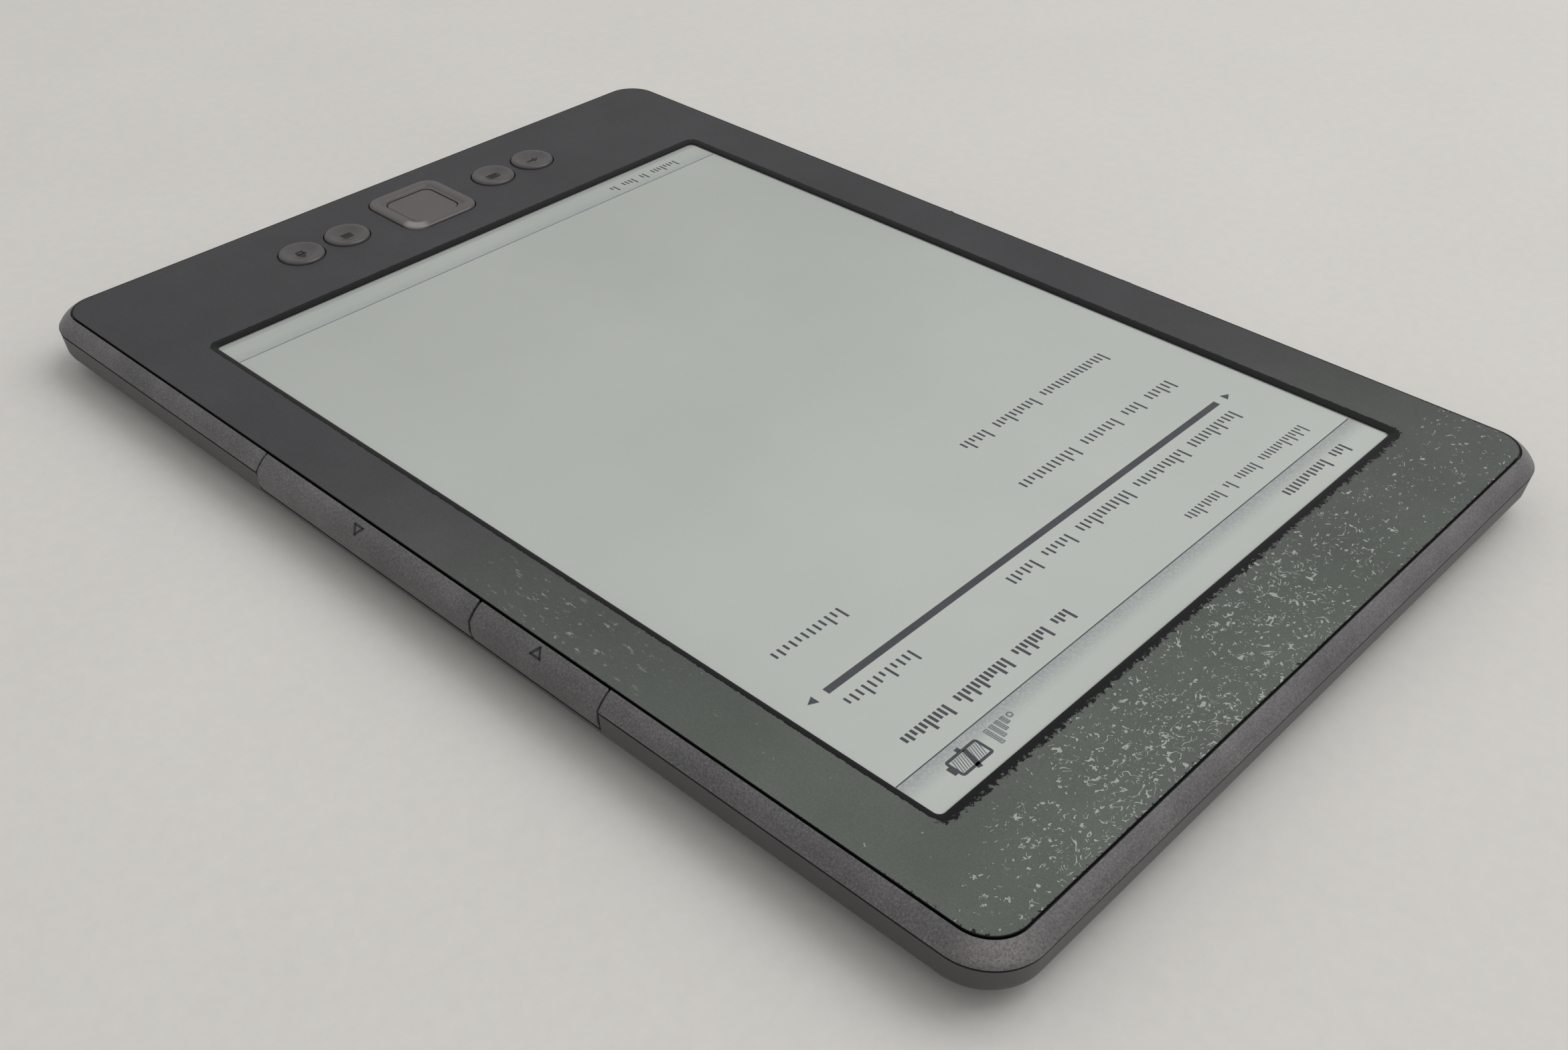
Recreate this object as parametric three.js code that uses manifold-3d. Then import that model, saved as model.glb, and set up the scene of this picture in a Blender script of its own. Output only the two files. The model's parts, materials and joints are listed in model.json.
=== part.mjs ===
// A six-inch e-paper reader lying on its back: +X is its right side, +Y its top end and +Z faces the reader.
// Millimetres. The origin is on the resting plane, under the middle of the body.
import * as THREE from 'three';
import { mergeVertices } from 'three/addons/utils/BufferGeometryUtils.js';
import Module from 'manifold-3d';

// ---- Body sizes ----
const WIDTH = 114;
const LENGTH = 166;
const BODY_HEIGHT = 8.7;
const CORNER_RADIUS = 6.5;
const LEAST_CORNER_RADIUS = 2;
const WALL = 1.4;
const FLOOR = 1.2;

// ---- Outer section: a rounded underside, an upright band, a crease and a bevel up to the panel ----
const UNDER_RUN = 8.5;
const UNDER_RISE = 4.1;
const BAND_LOW_INSET = 0.3;
const BAND_HIGH_INSET = 0.05;
const CREASE_DROP = 1.95;
const PARTING_DROP = 2.1;
const SEAM_INSET = 2.06;
const BEVEL_BULGE = 0.2;

// ---- Fits ----
const CLEARANCE = 0.3;
const SEAT_GAP = 0.1;
const SEAM_GAP = 0.3;
const SLIDE_GAP = 0.15;
const SCREW_GAP = 0.3;
const OVERSHOOT = 1; // how far a cutting tool runs past what it cuts
const OVERLAP = 0.2; // how far joined solids run into each other
const ROUND_END_SLACK = 0.05; // keeps a half-round end's arcs from meeting in one point

// ---- Panel, window and display ----
const PANEL_THICKNESS = 0.5;
const WINDOW_WIDTH = 92.2;
const WINDOW_LENGTH = 124.7;
const WINDOW_Y = 5.1;
const WINDOW_CORNER = 1.2;
const FILM_DEPTH = 0.66;
const FILM_THICKNESS = 0.4;
const FILM_LAP = 1.1;
const GLASS_THICKNESS = 0.7;
const GLASS_SIDE_MARGIN = 3.7;
const GLASS_FOOT_MARGIN = 1.7;
const GLASS_HEAD_MARGIN = 9.7;
const GASKET_EDGE = 0.3;
const FLEX_WIDTH = 24;
const FLEX_THICKNESS = 0.15;
const CONNECTOR_LENGTH = 4;
const CONNECTOR_FROM_EDGE = 9;
const CONNECTOR_TAIL = 1;

// ---- Chassis and inner frame ----
const CHASSIS_THICKNESS = 0.9;
const SKIRT_THICKNESS = 0.9;
const SKIRT_DROP = 1.4;
const BOSS_RADIUS = 2.2;
const CHASSIS_EAR_LENGTH = 8;
const CHASSIS_SCREW_ABOVE_KEYS = 20;
const CHASSIS_SCREW_BELOW_KEYS = 14;
const LIGHTENING_RADIUS = 6;
const LIGHTENING_X_SHARE = 0.78;
const LIGHTENING_SPACING = 25.45;

// ---- Battery ----
const BATTERY_WIDTH = 53;
const BATTERY_LENGTH = 60;
const BATTERY_CORNER = 1.5;
const BATTERY_LIFT = 0.4;
const BATTERY_HEADROOM = 0.39;
const BATTERY_Y = 12;
const BATTERY_EAR = 5;
const EAR_ROOT = 1;
const EAR_THICKNESS = 0.7;
const PLUG_WIDTH = 9;
const PLUG_LAP = 4;
const PLUG_LIFT = 0.4;

// ---- Main board ----
const BOARD_WIDTH = 100;
const BOARD_TOP_EDGE_Y = -26;
const BOARD_END_GAP = 2.7;
const BOARD_THICKNESS = 0.8;
const BOARD_BELOW_CHASSIS = 1.14;
const CHIN_SCREW_FROM_SIDE = 4;
const BOARD_SCREW_FROM_SIDE = 10;
const BOARD_SCREW_FROM_EDGE = 4;
const DOME_HEIGHT = 0.2;
const DOME_RADIUS = 1.8;
const DOME_SHEET_MARGIN = 0.3;
const DOME_SHEET_CORNER = 2;
const NAV_DOME_FROM_EDGE = 1.5;

// ---- Chips under the board ----
const CHIP_LIFT = 0.4;
const CHIPS_FROM_EDGE = 22;
const SHIELD_X = -14;
const SHIELD_SIZE = 24;
const SHIELD_CORNER = 1;
const SHIELD_SHEET = 0.25;
const PROCESSOR_OFFSET = -4.5;
const PROCESSOR_SIZE = 13;
const MEMORY_OFFSET = 7;
const MEMORY_WIDTH = 7;
const MEMORY_LENGTH = 12;
const MEMORY_LIFT = 0.2;
const POWER_CHIP_X = 12;
const POWER_CHIP_SIZE = 8;
const POWER_CHIP_HEIGHT = 1;
const WIRELESS_X = 34;
const WIRELESS_WIDTH = 16;
const WIRELESS_LENGTH = 13;
const ANTENNA_THICKNESS = 0.3;
const ANTENNA_LENGTH = 22;
const ANTENNA_BELOW_KEYS = 4;
const ANTENNA_WALL_GAP = 1;
const ANTENNA_LIFT = 0.9;
const ANTENNA_HEADROOM = 0.4;

// ---- Screws ----
const SCREW_RADIUS = 0.7;
const SCREW_HEAD_RADIUS = 1.3;
const SCREW_HEAD_HEIGHT = 0.6;
const SCREW_BITE = 1.1;
const SCREW_EDGE = 0.3;
const SCREW_TIP = 0.3;
const DRIVE_RADIUS = 0.45;
const DRIVE_DEPTH = 0.3;
const DRIVE_FLARE = 0.1;
const HEAD_WALL_GAP = 0.2;

// ---- Controls on the chin ----
const NAV_FROM_FOOT = 6.5;
const KEY_STAND = 0.45;
const ROUND_KEY_RADIUS = 3.4;
const ROUND_KEY_FLANGE = 0.45;
const INNER_KEY_X = 14.1;
const OUTER_KEY_X = 22.2;
const KEY_FLANGE_THICKNESS = 0.4;
const KEY_NUB_RADIUS = 1;
const KEY_NUB_HEIGHT = 0.85;
const KEY_DISH_DEPTH = 0.28;
const KEY_DISH_SHARE = 0.5;
const DISH_WALL_SHARE = 0.7;
const KEY_RIM_WIDTH = 0.7;
const KEY_RIM_EDGE = 0.25;
const KEY_RIM_DROP = 0.08;
const KEY_STRAIGHT = 0.1;
const NAV_SIZE = 13;
const NAV_CORNER = 2.6;
const NAV_FLANGE = 0.6;
const NAV_FLANGE_GAP = 0.45;
const NAV_EDGE_STEP = 0.35;
const SELECT_SIZE = 8.4;
const SELECT_CORNER = 1.4;
const SELECT_GAP = 0.25;
const SELECT_FLANGE = 0.7;
const SELECT_DROP = 0.15;
const SELECT_FLANGE_LIFT = 0.15;
const SELECT_PLAY = 0.1;
const SELECT_POCKET_CORNER = 2;
const SELECT_HEADROOM = 0.4;
const STEM_RADIUS = 1.1;
const STEM_GAP = 0.5;
const PAD_THICKNESS = 0.3;
const PAD_GAP = 0.45;
const PAD_EDGE = 0.4;
const PAD_NUB_RADIUS = 0.8;
const PAD_NUB_HEIGHT = 0.15;

// ---- Page keys on both long sides ----
const PAGE_KEYS_LOW_Y = -30.3;
const PAGE_KEYS_SPLIT_Y = 10.7;
const PAGE_KEYS_HIGH_Y = 31.5;
const PAGE_KEY_GAP = 0.35;
const PAGE_KEY_DROP = 4.7;
const PAGE_KEY_LIP = 1.2;
const LIP_THICKNESS = 0.4;
const LIP_END_GAP = 1.5;
const LIP_ROOT = 0.5;
const SWITCH_DEPTH = 0.9;
const SWITCH_LENGTH = 4;
const SWITCH_HEIGHT = 1.5;
const SWITCH_LIFT = 0.5;
const PLUNGER_DEPTH = 1.2;
const PLUNGER_LENGTH = 2;
const PLUNGER_EDGE = 0.4;
const PAGE_BOARD_THICKNESS = 0.6;
const PAGE_BOARD_END_GAP = 2;
const PAGE_BOARD_LIFT = 1.5;
const PAGE_BOARD_HEADROOM = 0.4;

// ---- Foot end: socket, power button, charge light ----
const SOCKET_WIDTH = 7.5;
const SOCKET_HEIGHT = 2.45;
const SOCKET_DEPTH = 5;
const SOCKET_SHEET = 0.25;
const SOCKET_RECESS = 0.9;
const SOCKET_CORNER = 0.8;
const TONGUE_WIDTH = 3.7;
const TONGUE_HEIGHT = 0.6;
const TONGUE_RAISE = 0.35;
const TONGUE_RECESS = 0.6;
const WALL_TOOL_DEPTH = 2;
const POWER_X = 15;
const POWER_LENGTH = 7;
const POWER_HEIGHT = 2.2;
const POWER_RECESS = 0.45;
const POWER_FLANGE = 0.7;
const POWER_FLANGE_THICKNESS = 0.5;
const POWER_THROW = 0.4;
const POWER_SLACK = 0.2;
const POWER_SWITCH_DEPTH = 3.2;
const POWER_SWITCH_WIDTH = 4;
const POWER_SWITCH_HEIGHT = 1.8;
const LIGHT_X = 8.6;
const LIGHT_RADIUS = 0.8;

// ---- Back contacts ----
const CONTACT_RADIUS = 1.3;
const CONTACT_SPACING = 6;
const CONTACT_X = -37;
const CONTACT_FROM_FOOT = 17;
const CONTACT_RECESS = 0.1;
const CONTACT_STAND_IN = 0.1;

// ---- Smoothness ----
const CORNER_STEPS = 6;
const SLAB_CORNER_STEPS = 3;
const UNDER_STEPS = 6;
const BEVEL_STEPS = 3;
const ROUND_STEPS = 16;
const SCREW_STEPS = 8;

// ---- Levels and places worked out from the sizes above ----
const TOP = BODY_HEIGHT;
const HALF_WIDTH = WIDTH / 2;
const HALF_LENGTH = LENGTH / 2;
const CREASE_Z = TOP - CREASE_DROP;
const FRAME_BOTTOM = TOP - PARTING_DROP;
const REAR_TOP = FRAME_BOTTOM - CLEARANCE;
const PANEL_BOTTOM = TOP - PANEL_THICKNESS;
const WEB_TOP = PANEL_BOTTOM - CLEARANCE;
const FILM_TOP = TOP - FILM_DEPTH;
const FILM_BOTTOM = FILM_TOP - FILM_THICKNESS;
const GLASS_TOP = FILM_BOTTOM - CLEARANCE;
const GLASS_BOTTOM = GLASS_TOP - GLASS_THICKNESS;
const CHASSIS_TOP = GLASS_BOTTOM - CLEARANCE;
const CHASSIS_BOTTOM = CHASSIS_TOP - CHASSIS_THICKNESS;
const SKIRT_INSET = BAND_LOW_INSET + WALL + CLEARANCE;
const POCKET_INSET = SEAM_INSET - SEAM_GAP / 2;
const PANEL_INSET = SEAM_INSET + SEAM_GAP / 2;
const WINDOW_HALF_X = WINDOW_WIDTH / 2;
const WINDOW_HALF_Y = WINDOW_LENGTH / 2;
const FILM_HALF_X = WINDOW_HALF_X + FILM_LAP;
const FILM_HALF_Y = WINDOW_HALF_Y + FILM_LAP;
const GLASS_HALF_X = FILM_HALF_X + GLASS_SIDE_MARGIN;
const GLASS_FOOT = WINDOW_Y - FILM_HALF_Y - GLASS_FOOT_MARGIN;
const GLASS_HEAD = WINDOW_Y + FILM_HALF_Y + GLASS_HEAD_MARGIN;
const CHIN_KEYS_Y = NAV_FROM_FOOT + NAV_SIZE / 2 - HALF_LENGTH;
const KEY_TOP = TOP + KEY_STAND;
const BOARD_TOP_Z = CHASSIS_BOTTOM - BOARD_BELOW_CHASSIS;
const BOARD_BASE_Z = BOARD_TOP_Z - BOARD_THICKNESS;
const FOOT_PARTS_Z = BOARD_BASE_Z + BOARD_THICKNESS / 2;
const DOME_TOP = BOARD_TOP_Z + SEAT_GAP + DOME_HEIGHT;
const FLEX_Z = CHASSIS_BOTTOM - CLEARANCE - FLEX_THICKNESS;
const BATTERY_BASE = FLOOR + BATTERY_LIFT;
const BATTERY_TOP = FLEX_Z - BATTERY_HEADROOM;
const CHIP_BASE = FLOOR + CHIP_LIFT;
const CHIP_TOP = BOARD_BASE_Z - SEAT_GAP;
const PAGE_KEY_BOTTOM = TOP - PAGE_KEY_DROP;
const PAGE_KEY_INNER_X = HALF_WIDTH - POCKET_INSET;
const PAGE_POCKET_X = PAGE_KEY_INNER_X - PAGE_KEY_LIP - CLEARANCE;
const BOARD_FOOT = BOARD_END_GAP - HALF_LENGTH;

// ---- Finishes ----
const FINISH = {
  panel: { color: 0x5f6360, roughness: 0.5, metalness: 0.1 },
  rim: { color: 0x4f4c4e, roughness: 0.6, metalness: 0 },
  rear: { color: 0x3a393b, roughness: 0.7, metalness: 0 },
  key: { color: 0x504d4e, roughness: 0.5, metalness: 0 },
  film: { color: 0xb6bbb5, roughness: 0.6, metalness: 0 },
  glass: { color: 0x6f7a78, roughness: 0.2, metalness: 0 },
  foam: { color: 0x151515, roughness: 0.95, metalness: 0 },
  chassis: { color: 0x9a9c9e, roughness: 0.45, metalness: 0.8 },
  board: { color: 0x1d5a38, roughness: 0.5, metalness: 0 },
  chip: { color: 0x17181a, roughness: 0.5, metalness: 0 },
  steel: { color: 0xb9bbbd, roughness: 0.35, metalness: 1 },
  gold: { color: 0xc9a04a, roughness: 0.3, metalness: 1 },
  flex: { color: 0x9a6a1e, roughness: 0.5, metalness: 0 },
  battery: { color: 0x2b2c30, roughness: 0.5, metalness: 0 },
  light: { color: 0xe8ece8, roughness: 0.3, metalness: 0 },
  silicone: { color: 0x8e9294, roughness: 0.8, metalness: 0 },
};

const wasm = await Module();
wasm.setup();

const reader = new THREE.Group();

// ---- Solids ----

// A geometry as a solid that can be joined and cut.
function solid(geometry) {
  const bare = geometry.clone();
  bare.deleteAttribute('normal');
  bare.deleteAttribute('uv');
  const merged = mergeVertices(bare, 1e-4);
  const mesh = new wasm.Mesh({
    numProp: 3,
    vertProperties: merged.attributes.position.array,
    triVerts: new Uint32Array(merged.index.array),
  });
  return new wasm.Manifold(mesh);
}

function join(...solids) {
  return solids.reduce((all, next) => all.add(next));
}

function cut(base, ...tools) {
  return tools.reduce((left, tool) => left.subtract(tool), base);
}

// Adds one named piece to the reader.
function piece(name, shape, finish) {
  const mesh = shape.getMesh();
  const geometry = new THREE.BufferGeometry();
  geometry.setAttribute('position', new THREE.BufferAttribute(new Float32Array(mesh.vertProperties), 3));
  geometry.setIndex(new THREE.BufferAttribute(new Uint32Array(mesh.triVerts), 1));
  geometry.computeVertexNormals();
  const object = new THREE.Mesh(geometry, new THREE.MeshStandardMaterial(FINISH[finish]));
  object.name = name;
  reader.add(object);
}

function box(x0, x1, y0, y1, z0, z1) {
  const geometry = new THREE.BoxGeometry(x1 - x0, y1 - y0, z1 - z0);
  geometry.translate((x0 + x1) / 2, (y0 + y1) / 2, (z0 + z1) / 2);
  return solid(geometry);
}

// A round post from z0 to z1.
function post(x, y, radius, z0, z1, steps = ROUND_STEPS) {
  const geometry = new THREE.CylinderGeometry(radius, radius, z1 - z0, steps);
  geometry.rotateX(Math.PI / 2);
  geometry.translate(x, y, (z0 + z1) / 2);
  return solid(geometry);
}

// A rounded rectangle as a shape centred at x, y.
function roundedShape(halfX, halfY, radius, x = 0, y = 0) {
  const shape = new THREE.Shape();
  shape.absarc(x + halfX - radius, y + halfY - radius, radius, 0, Math.PI / 2);
  shape.absarc(x - halfX + radius, y + halfY - radius, radius, Math.PI / 2, Math.PI);
  shape.absarc(x - halfX + radius, y - halfY + radius, radius, Math.PI, 1.5 * Math.PI);
  shape.absarc(x + halfX - radius, y - halfY + radius, radius, 1.5 * Math.PI, 2 * Math.PI);
  shape.closePath();
  return shape;
}

// A flat slab with rounded corners from z0 to z1.
function slab(halfX, halfY, radius, z0, z1, x = 0, y = 0) {
  const shape = roundedShape(halfX, halfY, radius, x, y);
  const geometry = new THREE.ExtrudeGeometry(shape, {
    depth: z1 - z0,
    bevelEnabled: false,
    curveSegments: SLAB_CORNER_STEPS,
  });
  geometry.translate(0, 0, z0);
  return solid(geometry);
}

// A slab with rounded corners that stands in the foot wall and runs from y0 to y1.
function wallSlab(halfX, halfZ, radius, x, z, y0, y1) {
  const geometry = new THREE.ExtrudeGeometry(roundedShape(halfX, halfZ, radius), {
    depth: y1 - y0,
    bevelEnabled: false,
    curveSegments: SLAB_CORNER_STEPS,
  });
  geometry.rotateX(Math.PI / 2);
  geometry.translate(x, y1, z);
  return solid(geometry);
}

// The points of the body's outline, inset from its widest size.
function outline(inset) {
  const radius = Math.max(CORNER_RADIUS - inset, LEAST_CORNER_RADIUS);
  const points = [];
  const corners = [[1, 1], [-1, 1], [-1, -1], [1, -1]];
  corners.forEach(([sideX, sideY], corner) => {
    const centreX = sideX * (HALF_WIDTH - inset - radius);
    const centreY = sideY * (HALF_LENGTH - inset - radius);
    for (let step = 0; step <= CORNER_STEPS; step += 1) {
      const angle = (corner + step / CORNER_STEPS) * Math.PI / 2;
      points.push([centreX + radius * Math.cos(angle), centreY + radius * Math.sin(angle)]);
    }
  });
  return points;
}

// A closed solid through the body's outline at each [inset, z] of a section, lowest first.
function loft(section) {
  const rings = section.map(([inset, z]) => outline(inset).map(([x, y]) => [x, y, z]));
  const count = rings[0].length;
  const positions = rings.flat(2);
  const index = [];
  for (let level = 0; level < rings.length - 1; level += 1) {
    for (let step = 0; step < count; step += 1) {
      const next = (step + 1) % count;
      const low = level * count;
      const high = low + count;
      index.push(low + step, low + next, high + next);
      index.push(low + step, high + next, high + step);
    }
  }
  const last = (rings.length - 1) * count;
  for (let step = 1; step < count - 1; step += 1) {
    index.push(0, step + 1, step);
    index.push(last, last + step, last + step + 1);
  }
  const geometry = new THREE.BufferGeometry();
  geometry.setAttribute('position', new THREE.Float32BufferAttribute(positions, 3));
  geometry.setIndex(index);
  return solid(geometry);
}

// ---- The body's outer section ----

function underInset(z) {
  const fall = Math.max(0, (UNDER_RISE - z) / UNDER_RISE);
  return BAND_LOW_INSET + UNDER_RUN * (1 - Math.sqrt(Math.max(0, 1 - fall * fall)));
}

function bandInset(z) {
  const share = (z - UNDER_RISE) / (FRAME_BOTTOM - UNDER_RISE);
  return BAND_LOW_INSET + (BAND_HIGH_INSET - BAND_LOW_INSET) * share;
}

function underSection() {
  const section = [];
  for (let step = 0; step <= UNDER_STEPS; step += 1) {
    const angle = (1 - step / UNDER_STEPS) * Math.PI / 2;
    const z = UNDER_RISE * (1 - Math.sin(angle));
    section.push([underInset(z), z]);
  }
  return section;
}

function bevelSection() {
  const section = [];
  const rise = TOP - CREASE_Z;
  const slant = Math.hypot(SEAM_INSET, rise);
  for (let step = 0; step <= BEVEL_STEPS; step += 1) {
    const share = step / BEVEL_STEPS;
    const bulge = BEVEL_BULGE * 4 * share * (1 - share);
    section.push([
      SEAM_INSET * share - bulge * rise / slant,
      CREASE_Z + rise * share + bulge * SEAM_INSET / slant,
    ]);
  }
  return section;
}

const rearForm = loft([...underSection(), [bandInset(REAR_TOP), REAR_TOP]]);
const frameForm = loft([[BAND_HIGH_INSET, FRAME_BOTTOM], ...bevelSection()]);
const wholeForm = loft([...underSection(), [BAND_HIGH_INSET, FRAME_BOTTOM], ...bevelSection()]);

// ---- Shared cutting tools ----

const chinKeys = [
  ['back_key', -OUTER_KEY_X],
  ['keyboard_key', -INNER_KEY_X],
  ['menu_key', INNER_KEY_X],
  ['home_key', OUTER_KEY_X],
];
const NAV_HALF = NAV_SIZE / 2;

// The holes that the chin's keys stand in.
function chinHoles(z0, z1) {
  const holes = chinKeys.map(([, x]) => post(x, CHIN_KEYS_Y, ROUND_KEY_RADIUS + SLIDE_GAP, z0, z1));
  const half = NAV_HALF + SLIDE_GAP;
  holes.push(slab(half, half, NAV_CORNER + SLIDE_GAP, z0, z1, 0, CHIN_KEYS_Y));
  return holes;
}

// The pocket in each long side that the page keys fill, from z0 up.
function pagePockets(z0) {
  const low = PAGE_KEYS_LOW_Y - PAGE_KEY_GAP / 2;
  const high = PAGE_KEYS_HIGH_Y + PAGE_KEY_GAP / 2;
  return [
    box(PAGE_POCKET_X, HALF_WIDTH + OVERSHOOT, low, high, z0, TOP + OVERSHOOT),
    box(-HALF_WIDTH - OVERSHOOT, -PAGE_POCKET_X, low, high, z0, TOP + OVERSHOOT),
  ];
}

// ---- Screws: a pan head below a shank that bites upwards ----

// A screw whose head bears at the level bearZ, with its shank's tip at tipZ.
function screw(name, x, y, bearZ, tipZ) {
  const headZ = bearZ - SEAT_GAP - SCREW_HEAD_HEIGHT;
  const profile = [
    new THREE.Vector2(0, headZ + DRIVE_DEPTH),
    new THREE.Vector2(DRIVE_RADIUS, headZ + DRIVE_DEPTH),
    new THREE.Vector2(DRIVE_RADIUS + DRIVE_FLARE, headZ),
    new THREE.Vector2(SCREW_HEAD_RADIUS - SCREW_EDGE, headZ),
    new THREE.Vector2(SCREW_HEAD_RADIUS, headZ + SCREW_EDGE),
    new THREE.Vector2(SCREW_HEAD_RADIUS, headZ + SCREW_HEAD_HEIGHT),
    new THREE.Vector2(SCREW_RADIUS, headZ + SCREW_HEAD_HEIGHT),
    new THREE.Vector2(SCREW_RADIUS, tipZ - SCREW_TIP),
    new THREE.Vector2(0, tipZ),
  ];
  const geometry = new THREE.LatheGeometry(profile, SCREW_STEPS);
  geometry.rotateX(Math.PI / 2);
  geometry.translate(x, y, 0);
  piece(name, solid(geometry), 'steel');
}

function screwHole(x, y, z0, z1) {
  return post(x, y, SCREW_RADIUS + SCREW_GAP, z0, z1, SCREW_STEPS);
}

const bothSides = [1, -1];
const batteryScrewX = BATTERY_WIDTH / 2 + BATTERY_EAR / 2;
const batteryScrews = bothSides.flatMap((sideX) => bothSides.map((sideY) => [
  sideX * batteryScrewX,
  BATTERY_Y + sideY * (BATTERY_LENGTH / 2 - BATTERY_EAR),
]));
const chinScrews = bothSides.map((sideX) => [sideX * (BOARD_WIDTH / 2 - CHIN_SCREW_FROM_SIDE), CHIN_KEYS_Y]);
const boardScrews = bothSides.map((sideX) => [
  sideX * (BOARD_WIDTH / 2 - BOARD_SCREW_FROM_SIDE),
  BOARD_TOP_EDGE_Y - BOARD_SCREW_FROM_EDGE,
]);
const skirtInnerX = HALF_WIDTH - SKIRT_INSET - SKIRT_THICKNESS;
const chassisScrewX = skirtInnerX - HEAD_WALL_GAP - SCREW_HEAD_RADIUS;
const chassisScrews = bothSides.flatMap((sideX) => [
  [sideX * chassisScrewX, PAGE_KEYS_HIGH_Y + CHASSIS_SCREW_ABOVE_KEYS],
  [sideX * chassisScrewX, PAGE_KEYS_LOW_Y - CHASSIS_SCREW_BELOW_KEYS],
]);

// ---- Rear case ----

const cavityLevels = [FLOOR, (FLOOR + UNDER_RISE) / 2, UNDER_RISE];
const cavity = loft([
  ...cavityLevels.map((z) => [underInset(z) + WALL, z]),
  [BAND_LOW_INSET + WALL, REAR_TOP + OVERSHOOT],
]);
const contactY = CONTACT_FROM_FOOT - HALF_LENGTH;
const contactXs = [CONTACT_X - CONTACT_SPACING / 2, CONTACT_X + CONTACT_SPACING / 2];
const wallOut = -HALF_LENGTH - OVERSHOOT;
const wallIn = -HALF_LENGTH + BAND_LOW_INSET + WALL + WALL_TOOL_DEPTH;
const socketMouth = wallSlab(
  SOCKET_WIDTH / 2 + CLEARANCE,
  SOCKET_HEIGHT / 2 + CLEARANCE,
  SOCKET_CORNER,
  0,
  FOOT_PARTS_Z,
  wallOut,
  wallIn,
);
const powerSlot = wallSlab(
  POWER_LENGTH / 2 + CLEARANCE,
  POWER_HEIGHT / 2 + CLEARANCE,
  POWER_HEIGHT / 2 + CLEARANCE - ROUND_END_SLACK,
  POWER_X,
  FOOT_PARTS_Z,
  wallOut,
  wallIn,
);
const lightHole = wallSlab(
  LIGHT_RADIUS + CLEARANCE,
  LIGHT_RADIUS + CLEARANCE,
  LIGHT_RADIUS + CLEARANCE - ROUND_END_SLACK,
  LIGHT_X,
  FOOT_PARTS_Z,
  wallOut,
  wallIn,
);
piece('rear_case', cut(
  rearForm,
  cavity,
  ...pagePockets(PAGE_KEY_BOTTOM - CLEARANCE),
  socketMouth,
  powerSlot,
  lightHole,
  ...contactXs.map((x) => post(x, contactY, CONTACT_RADIUS + CLEARANCE, -OVERSHOOT, FLOOR + OVERSHOOT)),
), 'rear');

// ---- Front frame: bevelled rim, web under the panel and skirt inside the rear case ----

const flexY = GLASS_HEAD + CLEARANCE;
const panelPocket = loft([[POCKET_INSET, WEB_TOP], [POCKET_INSET, TOP + OVERSHOOT]]);
const displayOpening = box(
  -GLASS_HALF_X - CLEARANCE,
  GLASS_HALF_X + CLEARANCE,
  GLASS_FOOT - CLEARANCE,
  flexY + FLEX_THICKNESS + CLEARANCE,
  0,
  TOP + OVERSHOOT,
);
const skirtZ = FRAME_BOTTOM - SKIRT_DROP;
const skirt = cut(
  loft([[SKIRT_INSET, skirtZ], [SKIRT_INSET, FRAME_BOTTOM + OVERLAP]]),
  loft([
    [SKIRT_INSET + SKIRT_THICKNESS, skirtZ - OVERSHOOT],
    [SKIRT_INSET + SKIRT_THICKNESS, FRAME_BOTTOM],
  ]),
);
const bossBottom = BOARD_TOP_Z + SEAT_GAP;
const chinBosses = chinScrews.map(([x, y]) => post(x, y, BOSS_RADIUS, bossBottom, FRAME_BOTTOM + OVERLAP));
const chassisScrewTip = FRAME_BOTTOM + SCREW_BITE - 2 * SCREW_GAP;
piece('front_frame', cut(
  join(frameForm, skirt, ...chinBosses),
  panelPocket,
  displayOpening,
  ...pagePockets(0),
  ...chinHoles(FRAME_BOTTOM - OVERSHOOT, TOP + OVERSHOOT),
  ...chinScrews.map(([x, y]) => screwHole(x, y, 0, bossBottom + SCREW_BITE + SCREW_GAP)),
  ...chassisScrews.map(([x, y]) => screwHole(x, y, 0, chassisScrewTip + SCREW_GAP)),
), 'rim');

// ---- Front panel ----

piece('front_panel', cut(
  loft([[PANEL_INSET, PANEL_BOTTOM], [PANEL_INSET, TOP]]),
  slab(WINDOW_HALF_X, WINDOW_HALF_Y, WINDOW_CORNER, 0, TOP + OVERSHOOT, 0, WINDOW_Y),
  ...chinHoles(0, TOP + OVERSHOOT),
), 'panel');

// ---- Display: e-paper film on its glass, foam gasket, flex and connector ----

piece('display_film', box(
  -FILM_HALF_X,
  FILM_HALF_X,
  WINDOW_Y - FILM_HALF_Y,
  WINDOW_Y + FILM_HALF_Y,
  FILM_BOTTOM,
  FILM_TOP,
), 'film');
piece('display_glass', box(
  -GLASS_HALF_X,
  GLASS_HALF_X,
  GLASS_FOOT,
  GLASS_HEAD,
  GLASS_BOTTOM,
  GLASS_TOP,
), 'glass');
piece('window_gasket', cut(
  box(
    -GLASS_HALF_X + GASKET_EDGE,
    GLASS_HALF_X - GASKET_EDGE,
    GLASS_FOOT + GASKET_EDGE,
    GLASS_HEAD - GASKET_EDGE,
    GLASS_TOP + SEAT_GAP,
    PANEL_BOTTOM - SEAT_GAP,
  ),
  box(
    -FILM_HALF_X - CLEARANCE,
    FILM_HALF_X + CLEARANCE,
    WINDOW_Y - FILM_HALF_Y - CLEARANCE,
    WINDOW_Y + FILM_HALF_Y + CLEARANCE,
    0,
    TOP,
  ),
), 'foam');
const connectorY = BOARD_TOP_EDGE_Y - CONNECTOR_FROM_EDGE;
const flexStart = connectorY + CONNECTOR_TAIL;
const flexEnd = flexY + FLEX_THICKNESS;
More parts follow.
